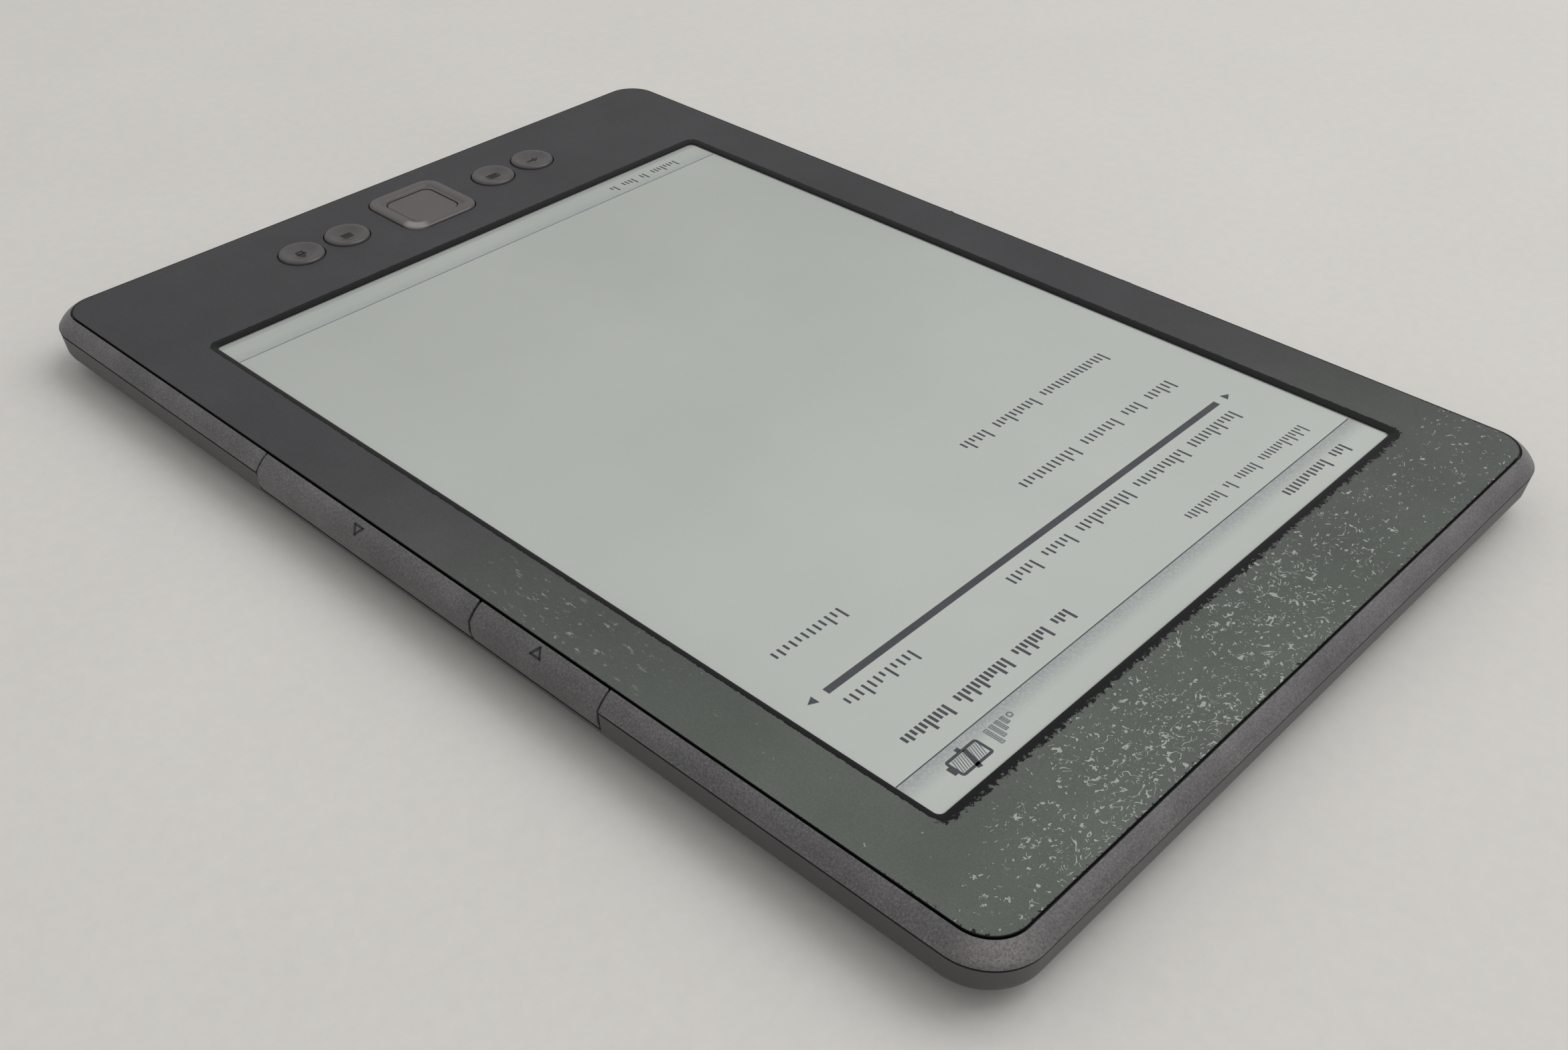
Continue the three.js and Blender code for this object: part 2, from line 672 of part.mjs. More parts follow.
piece('display_flex', join(
  box(-FLEX_WIDTH / 2, FLEX_WIDTH / 2, flexStart, flexEnd, FLEX_Z, FLEX_Z + FLEX_THICKNESS),
  box(-FLEX_WIDTH / 2, FLEX_WIDTH / 2, flexY, flexEnd, FLEX_Z, GLASS_TOP),
), 'flex');
piece('display_connector', box(
  -FLEX_WIDTH / 2,
  FLEX_WIDTH / 2,
  connectorY,
  connectorY + CONNECTOR_LENGTH,
  BOARD_TOP_Z + SEAT_GAP,
  FLEX_Z - SEAT_GAP,
), 'chip');

// ---- Chassis: a ribbed metal plate behind the display ----

const chassisHalfX = chassisScrewX + SCREW_RADIUS;
const chassisHead = GLASS_HEAD - CLEARANCE;
const chassisEars = chassisScrews.map(([x, y]) => box(
  Math.min(0, Math.sign(x) * chassisHalfX),
  Math.max(0, Math.sign(x) * chassisHalfX),
  y - CHASSIS_EAR_LENGTH / 2,
  y + CHASSIS_EAR_LENGTH / 2,
  CHASSIS_BOTTOM,
  CHASSIS_TOP,
));
const lighteningHoles = bothSides.flatMap((sideX) => [-1, 0, 1].map((step) => post(
  sideX * GLASS_HALF_X * LIGHTENING_X_SHARE,
  WINDOW_Y + step * LIGHTENING_SPACING,
  LIGHTENING_RADIUS,
  0,
  CHASSIS_TOP + OVERSHOOT,
)));
const bossTop = CHASSIS_BOTTOM + OVERLAP;
const earBossBottom = BATTERY_TOP + SEAT_GAP;
const batteryBosses = batteryScrews.map(([x, y]) => post(x, y, BOSS_RADIUS, earBossBottom, bossTop));
const boardBosses = boardScrews.map(([x, y]) => post(x, y, BOSS_RADIUS, bossBottom, bossTop));
piece('chassis', cut(
  join(
    box(-GLASS_HALF_X, GLASS_HALF_X, GLASS_FOOT, chassisHead, CHASSIS_BOTTOM, CHASSIS_TOP),
    ...chassisEars,
    ...batteryBosses,
    ...boardBosses,
  ),
  ...lighteningHoles,
  ...batteryScrews.map(([x, y]) => screwHole(x, y, 0, CHASSIS_TOP + OVERSHOOT)),
  ...boardScrews.map(([x, y]) => screwHole(x, y, 0, CHASSIS_TOP + OVERSHOOT)),
  ...chassisScrews.map(([x, y]) => screwHole(x, y, 0, CHASSIS_TOP + OVERSHOOT)),
), 'chassis');
chassisScrews.forEach(([x, y], index) => {
  screw(`chassis_screw_${index + 1}`, x, y, CHASSIS_BOTTOM, chassisScrewTip);
});

// ---- Battery pack with screwed ears, and its plug ----

const batteryEars = batteryScrews.map(([x, y]) => box(
  x - BATTERY_EAR / 2 - (x > 0 ? EAR_ROOT : 0),
  x + BATTERY_EAR / 2 + (x < 0 ? EAR_ROOT : 0),
  y - BATTERY_EAR / 2,
  y + BATTERY_EAR / 2,
  BATTERY_TOP - EAR_THICKNESS,
  BATTERY_TOP,
));
piece('battery_pack', cut(
  join(
    slab(BATTERY_WIDTH / 2, BATTERY_LENGTH / 2, BATTERY_CORNER, BATTERY_BASE, BATTERY_TOP, 0, BATTERY_Y),
    ...batteryEars,
  ),
  ...batteryScrews.map(([x, y]) => screwHole(x, y, 0, BATTERY_TOP + OVERSHOOT)),
), 'battery');
batteryScrews.forEach(([x, y], index) => {
  screw(`battery_screw_${index + 1}`, x, y, BATTERY_TOP - EAR_THICKNESS, CHASSIS_BOTTOM + SCREW_RADIUS);
});
const plugY = (BOARD_TOP_EDGE_Y + BATTERY_Y - BATTERY_LENGTH / 2) / 2;
piece('battery_plug', box(
  -PLUG_WIDTH / 2,
  PLUG_WIDTH / 2,
  BOARD_TOP_EDGE_Y - PLUG_LAP,
  plugY,
  CHIP_BASE + PLUG_LIFT,
  CHIP_TOP,
), 'silicone');

// ---- Main board and what is soldered to it ----

const socketBack = -HALF_LENGTH + SOCKET_RECESS + SOCKET_DEPTH;
const socketNotch = box(
  -SOCKET_WIDTH / 2 - CLEARANCE,
  SOCKET_WIDTH / 2 + CLEARANCE,
  BOARD_FOOT - OVERSHOOT,
  socketBack + CLEARANCE,
  0,
  BOARD_TOP_Z + OVERSHOOT,
);
const powerSwitchBack = BOARD_FOOT + POWER_SWITCH_DEPTH;
const switchNotch = box(
  POWER_X - POWER_LENGTH / 2 - POWER_FLANGE - CLEARANCE,
  POWER_X + POWER_LENGTH / 2 + POWER_FLANGE + CLEARANCE,
  BOARD_FOOT - OVERSHOOT,
  powerSwitchBack + CLEARANCE,
  0,
  BOARD_TOP_Z + OVERSHOOT,
);
const lightNotch = box(
  LIGHT_X - LIGHT_RADIUS - CLEARANCE,
  LIGHT_X + LIGHT_RADIUS + CLEARANCE,
  BOARD_FOOT - OVERSHOOT,
  powerSwitchBack + CLEARANCE,
  0,
  BOARD_TOP_Z + OVERSHOOT,
);
piece('mainboard', cut(
  box(-BOARD_WIDTH / 2, BOARD_WIDTH / 2, BOARD_FOOT, BOARD_TOP_EDGE_Y, BOARD_BASE_Z, BOARD_TOP_Z),
  socketNotch,
  switchNotch,
  lightNotch,
  ...chinScrews.map(([x, y]) => screwHole(x, y, 0, BOARD_TOP_Z + OVERSHOOT)),
  ...boardScrews.map(([x, y]) => screwHole(x, y, 0, BOARD_TOP_Z + OVERSHOOT)),
), 'board');
chinScrews.forEach(([x, y], index) => {
  screw(`board_screw_${index + 1}`, x, y, BOARD_BASE_Z, bossBottom + SCREW_BITE);
});
boardScrews.forEach(([x, y], index) => {
  screw(`board_screw_${index + 3}`, x, y, BOARD_BASE_Z, CHASSIS_BOTTOM + SCREW_RADIUS);
});

const chipY = BOARD_TOP_EDGE_Y - CHIPS_FROM_EDGE;
// A chip on the board's back side, given by its middle, its size and its lower level.
function chip(name, x, sizeX, sizeY, base, finish = 'chip') {
  const shape = box(x - sizeX / 2, x + sizeX / 2, chipY - sizeY / 2, chipY + sizeY / 2, base, CHIP_TOP);
  piece(name, shape, finish);
}
const shieldHalf = SHIELD_SIZE / 2;
piece('shield_can', cut(
  slab(shieldHalf, shieldHalf, SHIELD_CORNER, CHIP_BASE, CHIP_TOP, SHIELD_X, chipY),
  slab(
    shieldHalf - SHIELD_SHEET,
    shieldHalf - SHIELD_SHEET,
    SHIELD_CORNER - SHIELD_SHEET,
    CHIP_BASE + SHIELD_SHEET,
    CHIP_TOP + OVERSHOOT,
    SHIELD_X,
    chipY,
  ),
), 'steel');
const chipBase = CHIP_BASE + SHIELD_SHEET + CLEARANCE;
chip('processor', SHIELD_X + PROCESSOR_OFFSET, PROCESSOR_SIZE, PROCESSOR_SIZE, chipBase);
chip('memory_chip', SHIELD_X + MEMORY_OFFSET, MEMORY_WIDTH, MEMORY_LENGTH, chipBase + MEMORY_LIFT);
chip('power_chip', POWER_CHIP_X, POWER_CHIP_SIZE, POWER_CHIP_SIZE, CHIP_TOP - POWER_CHIP_HEIGHT);
chip('wireless_module', WIRELESS_X, WIRELESS_WIDTH, WIRELESS_LENGTH, CHIP_BASE, 'steel');
const antennaX = skirtInnerX - ANTENNA_WALL_GAP;
const antennaY = CHIN_KEYS_Y - ANTENNA_BELOW_KEYS;
piece('antenna', box(
  antennaX - ANTENNA_THICKNESS,
  antennaX,
  antennaY,
  antennaY + ANTENNA_LENGTH,
  CHIP_BASE + ANTENNA_LIFT,
  skirtZ - ANTENNA_HEADROOM,
), 'flex');

// Metal domes held in one sheet on top of the board, under the chin keys.
const domeSheet = slab(
  OUTER_KEY_X + ROUND_KEY_RADIUS,
  NAV_HALF + DOME_SHEET_MARGIN,
  DOME_SHEET_CORNER,
  BOARD_TOP_Z + SEAT_GAP,
  BOARD_TOP_Z + 2 * SEAT_GAP,
  0,
  CHIN_KEYS_Y,
);
const navDomeReach = NAV_HALF - NAV_DOME_FROM_EDGE;
const navDomes = [[navDomeReach, 0], [-navDomeReach, 0], [0, navDomeReach], [0, -navDomeReach]];
const domePlaces = [...chinKeys.map(([, x]) => [x, 0]), [0, 0], ...navDomes];
piece('dome_sheet', join(domeSheet, ...domePlaces.map(([x, y]) => post(
  x,
  CHIN_KEYS_Y + y,
  DOME_RADIUS,
  BOARD_TOP_Z + SEAT_GAP,
  DOME_TOP,
  SCREW_STEPS,
))), 'steel');

// ---- Round keys: a dished cap, a flange under the frame and a nub over its dome ----

const flangeTop = FRAME_BOTTOM - CLEARANCE;
const flangeBottom = flangeTop - KEY_FLANGE_THICKNESS;
function roundKey(name, x) {
  const flangeRadius = ROUND_KEY_RADIUS + ROUND_KEY_FLANGE;
  const nubZ = flangeBottom - KEY_NUB_HEIGHT;
  const profile = [
    new THREE.Vector2(0, nubZ),
    new THREE.Vector2(KEY_NUB_RADIUS, nubZ),
    new THREE.Vector2(KEY_NUB_RADIUS, flangeBottom),
    new THREE.Vector2(flangeRadius, flangeBottom),
    new THREE.Vector2(flangeRadius, flangeTop),
    new THREE.Vector2(ROUND_KEY_RADIUS, flangeTop),
    new THREE.Vector2(ROUND_KEY_RADIUS, TOP + KEY_STRAIGHT),
    new THREE.Vector2(ROUND_KEY_RADIUS - KEY_RIM_EDGE, KEY_TOP - KEY_RIM_DROP),
    new THREE.Vector2(ROUND_KEY_RADIUS - KEY_RIM_WIDTH, KEY_TOP),
    new THREE.Vector2(ROUND_KEY_RADIUS * KEY_DISH_SHARE, KEY_TOP - KEY_DISH_DEPTH * DISH_WALL_SHARE),
    new THREE.Vector2(0, KEY_TOP - KEY_DISH_DEPTH),
  ];
  const geometry = new THREE.LatheGeometry(profile, ROUND_STEPS);
  geometry.rotateX(Math.PI / 2);
  geometry.translate(x, CHIN_KEYS_Y, 0);
  piece(name, solid(geometry), 'key');
}
chinKeys.forEach(([name, x]) => roundKey(name, x));

// ---- Five-way control: tilting pad and ring round a select key ----

const navFlangeTop = FRAME_BOTTOM - NAV_FLANGE_GAP;
const navFlangeBottom = navFlangeTop - KEY_FLANGE_THICKNESS;
const selectHalf = SELECT_SIZE / 2;
const selectHole = selectHalf + SELECT_GAP;
const selectFlange = selectHalf + SELECT_FLANGE;
const selectPocket = selectFlange + SELECT_GAP + SELECT_PLAY;
const selectFlangeBottom = navFlangeBottom + SELECT_FLANGE_LIFT;
const selectFlangeTop = selectFlangeBottom + KEY_FLANGE_THICKNESS;
const ringTopHalf = NAV_HALF - NAV_EDGE_STEP;
piece('nav_ring', cut(
  join(
    slab(NAV_HALF, NAV_HALF, NAV_CORNER, navFlangeBottom, KEY_TOP - NAV_EDGE_STEP, 0, CHIN_KEYS_Y),
    slab(ringTopHalf, ringTopHalf, NAV_CORNER - NAV_EDGE_STEP, TOP, KEY_TOP, 0, CHIN_KEYS_Y),
    slab(
      NAV_HALF + NAV_FLANGE,
      NAV_HALF + NAV_FLANGE,
      NAV_CORNER + NAV_FLANGE,
      navFlangeBottom,
      navFlangeTop,
      0,
      CHIN_KEYS_Y,
    ),
  ),
  slab(selectHole, selectHole, SELECT_CORNER + SELECT_GAP, 0, KEY_TOP + OVERSHOOT, 0, CHIN_KEYS_Y),
  slab(selectPocket, selectPocket, SELECT_POCKET_CORNER, 0, selectFlangeTop + SELECT_HEADROOM, 0, CHIN_KEYS_Y),
), 'key');
const padTop = navFlangeBottom - PAD_GAP;
const padBottom = padTop - PAD_THICKNESS;
const padHalf = NAV_HALF - PAD_EDGE;
const nubBottom = padBottom - PAD_NUB_HEIGHT;
const navNubs = navDomes.map(([x, y]) => post(
  x,
  CHIN_KEYS_Y + y,
  PAD_NUB_RADIUS,
  nubBottom,
  padTop,
  SCREW_STEPS,
));
piece('nav_pad', cut(
  join(slab(padHalf, padHalf, NAV_CORNER, padBottom, padTop, 0, CHIN_KEYS_Y), ...navNubs),
  post(0, CHIN_KEYS_Y, STEM_RADIUS + STEM_GAP, 0, TOP, ROUND_STEPS),
), 'silicone');
piece('select_key', join(
  slab(selectHalf, selectHalf, SELECT_CORNER, selectFlangeBottom, KEY_TOP - SELECT_DROP, 0, CHIN_KEYS_Y),
  slab(selectFlange, selectFlange, SELECT_CORNER, selectFlangeBottom, selectFlangeTop, 0, CHIN_KEYS_Y),
  post(0, CHIN_KEYS_Y, STEM_RADIUS, padBottom, selectFlangeBottom + OVERLAP, SCREW_STEPS),
), 'key');

// ---- Page keys, their switch boards and switches ----

const pageKeys = [
  ['next_page_key', PAGE_KEYS_LOW_Y, PAGE_KEYS_SPLIT_Y],
  ['last_page_key', PAGE_KEYS_SPLIT_Y, PAGE_KEYS_HIGH_Y],
];
const switchBoardX = PAGE_POCKET_X - CLEARANCE;
const switchX = switchBoardX + CLEARANCE / 2;
const switchZ = PAGE_KEY_BOTTOM + SWITCH_LIFT;
const switchTop = switchZ + SWITCH_HEIGHT;
const lipZ = FRAME_BOTTOM + CLEARANCE;

// A box on the right side, or its mirror image on the left.
function sideBox(side, x0, x1, y0, y1, z0, z1) {
  return side > 0 ? box(x0, x1, y0, y1, z0, z1) : box(-x1, -x0, y0, y1, z0, z1);
}

function pageSide(side, sideName) {
  pageKeys.forEach(([name, low, high]) => {
    const y0 = low + PAGE_KEY_GAP / 2;
    const y1 = high - PAGE_KEY_GAP / 2;
    const skin = sideBox(side, PAGE_KEY_INNER_X, HALF_WIDTH + OVERSHOOT, y0, y1, PAGE_KEY_BOTTOM, TOP);
    const lip = sideBox(
      side,
      PAGE_KEY_INNER_X - PAGE_KEY_LIP,
      PAGE_KEY_INNER_X + LIP_ROOT,
      y0 + LIP_END_GAP,
      y1 - LIP_END_GAP,
      lipZ,
      lipZ + LIP_THICKNESS,
    );
    piece(`${name}_${sideName}`, join(wholeForm.intersect(skin), lip), 'rim');
    const middle = (low + high) / 2;
    piece(`${name.replace('key', 'switch')}_${sideName}`, join(
      sideBox(
        side,
        switchX,
        switchX + SWITCH_DEPTH,
        middle - SWITCH_LENGTH / 2,
        middle + SWITCH_LENGTH / 2,
        switchZ,
        switchTop,
      ),
      sideBox(
        side,
        switchX,
        switchX + PLUNGER_DEPTH,
        middle - PLUNGER_LENGTH / 2,
        middle + PLUNGER_LENGTH / 2,
        switchZ + PLUNGER_EDGE,
        switchTop - PLUNGER_EDGE,
      ),
    ), 'steel');
  });
  piece(`page_board_${sideName}`, sideBox(
    side,
    switchBoardX - PAGE_BOARD_THICKNESS,
    switchBoardX,
    PAGE_KEYS_LOW_Y + PAGE_BOARD_END_GAP,
    PAGE_KEYS_HIGH_Y - PAGE_BOARD_END_GAP,
    FLOOR + PAGE_BOARD_LIFT,
    FRAME_BOTTOM - PAGE_BOARD_HEADROOM,
  ), 'board');
}
pageSide(1, 'right');
pageSide(-1, 'left');

// ---- Foot end: socket, tongue, power button, its switch and the charge light ----

const socketFront = -HALF_LENGTH + SOCKET_RECESS;
const socketOuter = wallSlab(
  SOCKET_WIDTH / 2,
  SOCKET_HEIGHT / 2,
  SOCKET_CORNER,
  0,
  FOOT_PARTS_Z,
  socketFront,
  socketBack,
);
const socketHollow = wallSlab(
  SOCKET_WIDTH / 2 - SOCKET_SHEET,
  SOCKET_HEIGHT / 2 - SOCKET_SHEET,
  SOCKET_CORNER - SOCKET_SHEET,
  0,
  FOOT_PARTS_Z,
  socketFront - OVERSHOOT,
  socketBack - SOCKET_SHEET,
);
piece('usb_socket', cut(socketOuter, socketHollow), 'steel');
const tongueZ = FOOT_PARTS_Z + TONGUE_RAISE;
piece('usb_tongue', box(
  -TONGUE_WIDTH / 2,
  TONGUE_WIDTH / 2,
  socketFront + TONGUE_RECESS,
  socketBack - SOCKET_SHEET - SEAT_GAP,
  tongueZ - TONGUE_HEIGHT / 2,
  tongueZ + TONGUE_HEIGHT / 2,
), 'chip');
const powerFace = -HALF_LENGTH + POWER_RECESS;
const powerFlangeZ1 = skirtZ - CLEARANCE;
const powerFlangeZ0 = 2 * FOOT_PARTS_Z - powerFlangeZ1;
const powerFlangeY = -HALF_LENGTH + underInset(powerFlangeZ0) + WALL + CLEARANCE;
const powerFlangeBack = powerFlangeY + POWER_FLANGE_THICKNESS;
piece('power_button', join(
  wallSlab(
    POWER_LENGTH / 2,
    POWER_HEIGHT / 2,
    POWER_HEIGHT / 2 - ROUND_END_SLACK,
    POWER_X,
    FOOT_PARTS_Z,
    powerFace,
    powerFlangeY + OVERLAP,
  ),
  box(
    POWER_X - POWER_LENGTH / 2 - POWER_FLANGE,
    POWER_X + POWER_LENGTH / 2 + POWER_FLANGE,
    powerFlangeY,
    powerFlangeBack,
    powerFlangeZ0,
    powerFlangeZ1,
  ),
), 'key');
piece('power_switch', box(
  POWER_X - POWER_SWITCH_WIDTH / 2,
  POWER_X + POWER_SWITCH_WIDTH / 2,
  powerFlangeBack + POWER_THROW + POWER_SLACK,
  powerSwitchBack,
  FOOT_PARTS_Z - POWER_SWITCH_HEIGHT / 2,
  FOOT_PARTS_Z + POWER_SWITCH_HEIGHT / 2,
), 'steel');
piece('charge_light', wallSlab(
  LIGHT_RADIUS,
  LIGHT_RADIUS,
  LIGHT_RADIUS - ROUND_END_SLACK,
  LIGHT_X,
  FOOT_PARTS_Z,
  powerFace,
  powerSwitchBack,
), 'light');

// ---- Gold contacts in the back, for a lit cover ----

contactXs.forEach((x, index) => {
  const contact = post(x, contactY, CONTACT_RADIUS, CONTACT_RECESS, FLOOR + CONTACT_STAND_IN);
  piece(`cover_contact_${index + 1}`, contact, 'gold');
});

export default reader;
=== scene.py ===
# Looks of a six-inch e-paper reader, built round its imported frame. Metres; +Z faces the reader.
import json
import math
import random

import bmesh
import bpy
from mathutils import Matrix, Vector


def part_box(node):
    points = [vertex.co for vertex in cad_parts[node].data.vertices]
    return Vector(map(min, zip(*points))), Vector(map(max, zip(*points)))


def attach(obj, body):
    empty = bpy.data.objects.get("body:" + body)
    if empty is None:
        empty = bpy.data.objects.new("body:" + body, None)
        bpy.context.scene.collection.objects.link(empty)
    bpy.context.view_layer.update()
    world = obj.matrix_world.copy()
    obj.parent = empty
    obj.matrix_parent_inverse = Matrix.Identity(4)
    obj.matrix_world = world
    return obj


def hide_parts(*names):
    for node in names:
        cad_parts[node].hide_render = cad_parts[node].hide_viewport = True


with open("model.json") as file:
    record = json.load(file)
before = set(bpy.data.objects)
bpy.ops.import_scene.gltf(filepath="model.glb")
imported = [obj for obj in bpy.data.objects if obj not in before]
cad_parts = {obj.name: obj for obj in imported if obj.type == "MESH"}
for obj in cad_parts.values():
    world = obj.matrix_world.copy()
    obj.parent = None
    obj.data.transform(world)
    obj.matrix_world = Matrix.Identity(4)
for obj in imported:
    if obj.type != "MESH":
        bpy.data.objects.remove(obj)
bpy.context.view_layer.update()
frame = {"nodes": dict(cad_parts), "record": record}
MM = 0.001  # pieces are shaped in millimetres and brought to metres when they are finished

# ---- Places read from the frame ----
def cad_box(node):
    """A CAD node's lowest and highest corners in millimetres."""
    low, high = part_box(node)
    return low / MM, high / MM


def middle(node):
    """The middle of a CAD node's box."""
    low, high = cad_box(node)
    return (low.x + high.x) / 2, (low.y + high.y) / 2, (low.z + high.z) / 2


def half_sizes(node):
    """Half a CAD node's width, length and height."""
    low, high = cad_box(node)
    return (high.x - low.x) / 2, (high.y - low.y) / 2, (high.z - low.z) / 2


panel_low, panel_high = cad_box("front_panel")
film_low, film_high = cad_box("display_film")
HALF_WIDTH, HALF_LENGTH, TOP = cad_box("front_frame")[1]
REAR_TOP = cad_box("rear_case")[1].z
PANEL_BOTTOM = panel_low.z
FILM_TOP = film_high.z

# ---- Sizes of the outer section ----
CORNER_RADIUS = 6.5
CORNER_STEPS = 24
CREASE_DROP = 1.95
CREASE_Z = TOP - CREASE_DROP
CREASE_TUCK = 0.05
SEAM_INSET = 2.06
SEAM_GAP = 0.26
BEVEL_BULGE = 0.2
BEVEL_STEPS = 6
PARTING_GAP = 0.3
FRAME_BOTTOM = REAR_TOP + PARTING_GAP
REAR_TUCK = CREASE_TUCK + 0.02
REAR_WALL = 1.2
BAND_INSET = 0.3
UNDER_RUN = 8.5
UNDER_RISE = 4.1
UNDER_STEPS = 12
WEB_DROP = 0.8
OVERSHOOT = 1  # how far a cutting tool runs past what it cuts
UNDERCUT = 0.1
MERGE_DISTANCE = 0.002

# ---- The window and the screen in it ----
WINDOW_HALF_X = 46.2
WINDOW_HALF_Y = 62.65
WINDOW_CORNER = 1.5
WINDOW_Y = (film_low.y + film_high.y) / 2
LIP_INSET = 0.85
LIP_DROP = 0.3
LIP_CORNER = WINDOW_CORNER - 0.7
FILM_CORNER = 0.5
HEADER_Y = 61.3
FOOTER_Y = -51.5
RULE_LENGTH = 90.2

# ---- Keys ----
CHIN_KEYS = ("back_key", "keyboard_key", "menu_key", "home_key")
KEY_GAP = 0.15
KEY_FLANGE = 0.45
KEY_SIDES = 72
CAP_LIFT = 0.02
NAV_FLANGE = 0.6
NAV_CORNER = 2.6
NAV_STEPS = 16
SELECT_FLANGE = 0.7
SELECT_GAP = 0.14
SELECT_HOLE_CORNER = 1.5
SELECT_CORNER = 1.4
SELECT_STEPS = 10
SELECT_DROP = 0.12
POCKET_GAP = 0.25
POCKET_INNER_X = 53.4
POCKET_FLOOR_GAP = 0.2

# Steps of (inwards, upwards) from a cap's edge, over its ridge and down into its dish
ROUND_KEY_STEPS = (
    (0.05, 0.16), (0.1, 0.13), (0.16, 0.09), (0.22, 0.04), (0.26, 0.0),
    (0.3, -0.07), (0.35, -0.12), (0.4, -0.12), (0.45, -0.09), (0.5, -0.04),
)
NAV_RING_STEPS = (
    (0.05, 0.17), (0.12, 0.14), (0.2, 0.09), (0.3, 0.04),
    (0.4, 0.0), (0.35, -0.08), (0.3, -0.16), (0.25, -0.16),
)
SELECT_KEY_STEPS = ((0.04, 0.07), (0.08, 0.05), (0.16, 0.02), (0.4, -0.01), (0.5, -0.03))
CONTACT_STEPS = ((0.06, 0.06), (0.1, 0.04), (0.25, 0.0), (0.08, -0.06), (0.6, 0.0))

# ---- The page keys' triangles ----
NEXT_MARK_SHIFT = -0.7
MARK_RADIUS = 1.12
MARK_SQUEEZE = 0.85
MARK_CORNER = 0.18
MARK_WEIGHT = 0.27
MARK_SINK = 0.1
MARK_HEIGHT = 0.135

# ---- Foot end and back contacts ----
FOOT_GAP = 0.15
FOOT_HOLE_DEPTH = 6
END_STEPS = 12
NEARLY_ROUND = 0.98
POWER_FLANGE = 0.7
POWER_HALF_Z = 1.1
SOCKET_HOLE_ROUND = 0.6
SOCKET_CORNER = 0.8
SOCKET_HOLLOW_CORNER = 0.6
SOCKET_SHEET = 0.25
COVER_CONTACTS = ("cover_contact_1", "cover_contact_2")
CONTACT_GAP = 0.12
CONTACT_HOLE_TOP = 3
CONTACT_SIDES = 48

# ---- Colours, as linear red, green and blue ----
COATING_TONES = (
    (0.34, (0.079, 0.090, 0.080)), (0.5, (0.100, 0.114, 0.101)), (0.66, (0.126, 0.142, 0.126)),
)
PLATE_TONES = ((0.3, (0.002, 0.0025, 0.003)), (0.7, (0.006, 0.007, 0.0075)))
# Painted sheen: the panel's coating is multiplied by this darker violet tint towards the chin, away from the
# painted reflection at the upper right.
SHEENLESS_END_TINT = (0.50, 0.43, 0.53)
NO_TINT = (1.0, 1.0, 1.0)
FLAKE_COLOUR = (0.34, 0.365, 0.34)
RIM_TONES = (
    (0.34, (0.050, 0.04825, 0.051)), (0.5, (0.102, 0.09843, 0.10302)), (0.66, (0.180, 0.1737, 0.1764)),
)
RIM_WORN = (0.27, 0.258, 0.242)
RIM_CHIP = (0.28, 0.27, 0.26)
KEY_TONES = ((0.33, (0.050, 0.047, 0.048)), (0.67, (0.080, 0.075, 0.075)))
FIVE_WAY_BROWN = (0.098, 0.088, 0.085)
KEY_RUBBED = (0.26, 0.245, 0.235)
PAPER_TONES = ((0.3, (0.455, 0.487, 0.452)), (0.7, (0.512, 0.545, 0.505)))
PAPER_SHADE = (0.25, 0.275, 0.29)
PAPER_EDGE = (0.40, 0.43, 0.40)
# Painted shade: the e-paper is multiplied by these, darkest at the chin and lightest at the head.
PAPER_CHIN_PAINTED_SHADE = (0.80, 0.80, 0.82)
PAPER_HEAD_PAINTED_SHADE = (0.94, 0.94, 0.96)
BOARD_TONES = ((0.3, (0.010, 0.075, 0.035)), (0.7, (0.016, 0.110, 0.050)))
TRACK_GREEN = (0.045, 0.20, 0.085)

# ---- Places of wear, in millimetres ----
RUBBED_KEY_CORNER = (5.4, -64.7)
FLAKE_LAYERS = ((0.50, 0.50), (0.78, 0.45))  # scale of the noise, level of its lines

# ---- Camera, lights and floor, in metres apart from the camera's place ----
CAMERA_PLACE = (142.27, 132.04, 129.21)
CAMERA_TURN = (53.522, -0.096, 133.877)
CAMERA_LENS = 39.77
CAMERA_SHIFT = (0.035, -0.0081)
SENSOR_WIDTH = 36
CLIP_START = 0.005
LIGHT_TINT = (1.0, 0.99, 0.97)
HORIZON_LIGHT = 0.40
CEILING_LIGHT = 0.76
SOFTBOXES = (
    # name, place, size, power
    ("overhead", (-0.45, 0.30, 1.0), 0.9, 5.2),
    ("side", (-0.9, 0.7, 0.7), 0.6, 1.0),
)
FLOOR_SIZE = 24
FLOOR_DROP = 0.0002

random.seed(11)

# ---- Making and shaping ----
def leave_edit():
    if bpy.context.object and bpy.context.object.mode != "OBJECT":
        bpy.ops.object.mode_set(mode="OBJECT")


def choose(piece):
    """Makes one piece the selected and active one."""
    leave_edit()
    bpy.ops.object.select_all(action="DESELECT")
    piece.select_set(True)
    bpy.context.view_layer.objects.active = piece


def edit(piece):
    choose(piece)
    bpy.ops.object.mode_set(mode="EDIT")
    bpy.ops.mesh.select_all(action="DESELECT")


def settle(name):
    """Names the active piece and applies its place to its mesh."""
    leave_edit()
    piece = bpy.context.object
    piece.name = name
    piece.data.name = name
    choose(piece)
    bpy.ops.object.transform_apply(location=True, rotation=True, scale=True)
    return piece


def pick(piece, kind, test=None):
    """In edit mode, selects the edges or faces that pass a test, or all of them, and nothing else."""
    bpy.ops.mesh.select_mode(type=kind)
    bpy.ops.mesh.select_all(action="DESELECT")
    mesh = bmesh.from_edit_mesh(piece.data)
    for part in mesh.edges if kind == "EDGE" else mesh.faces:
        if test is None or test(part):
            part.select_set(True)
    mesh.select_flush_mode()
    bmesh.update_edit_mesh(piece.data)


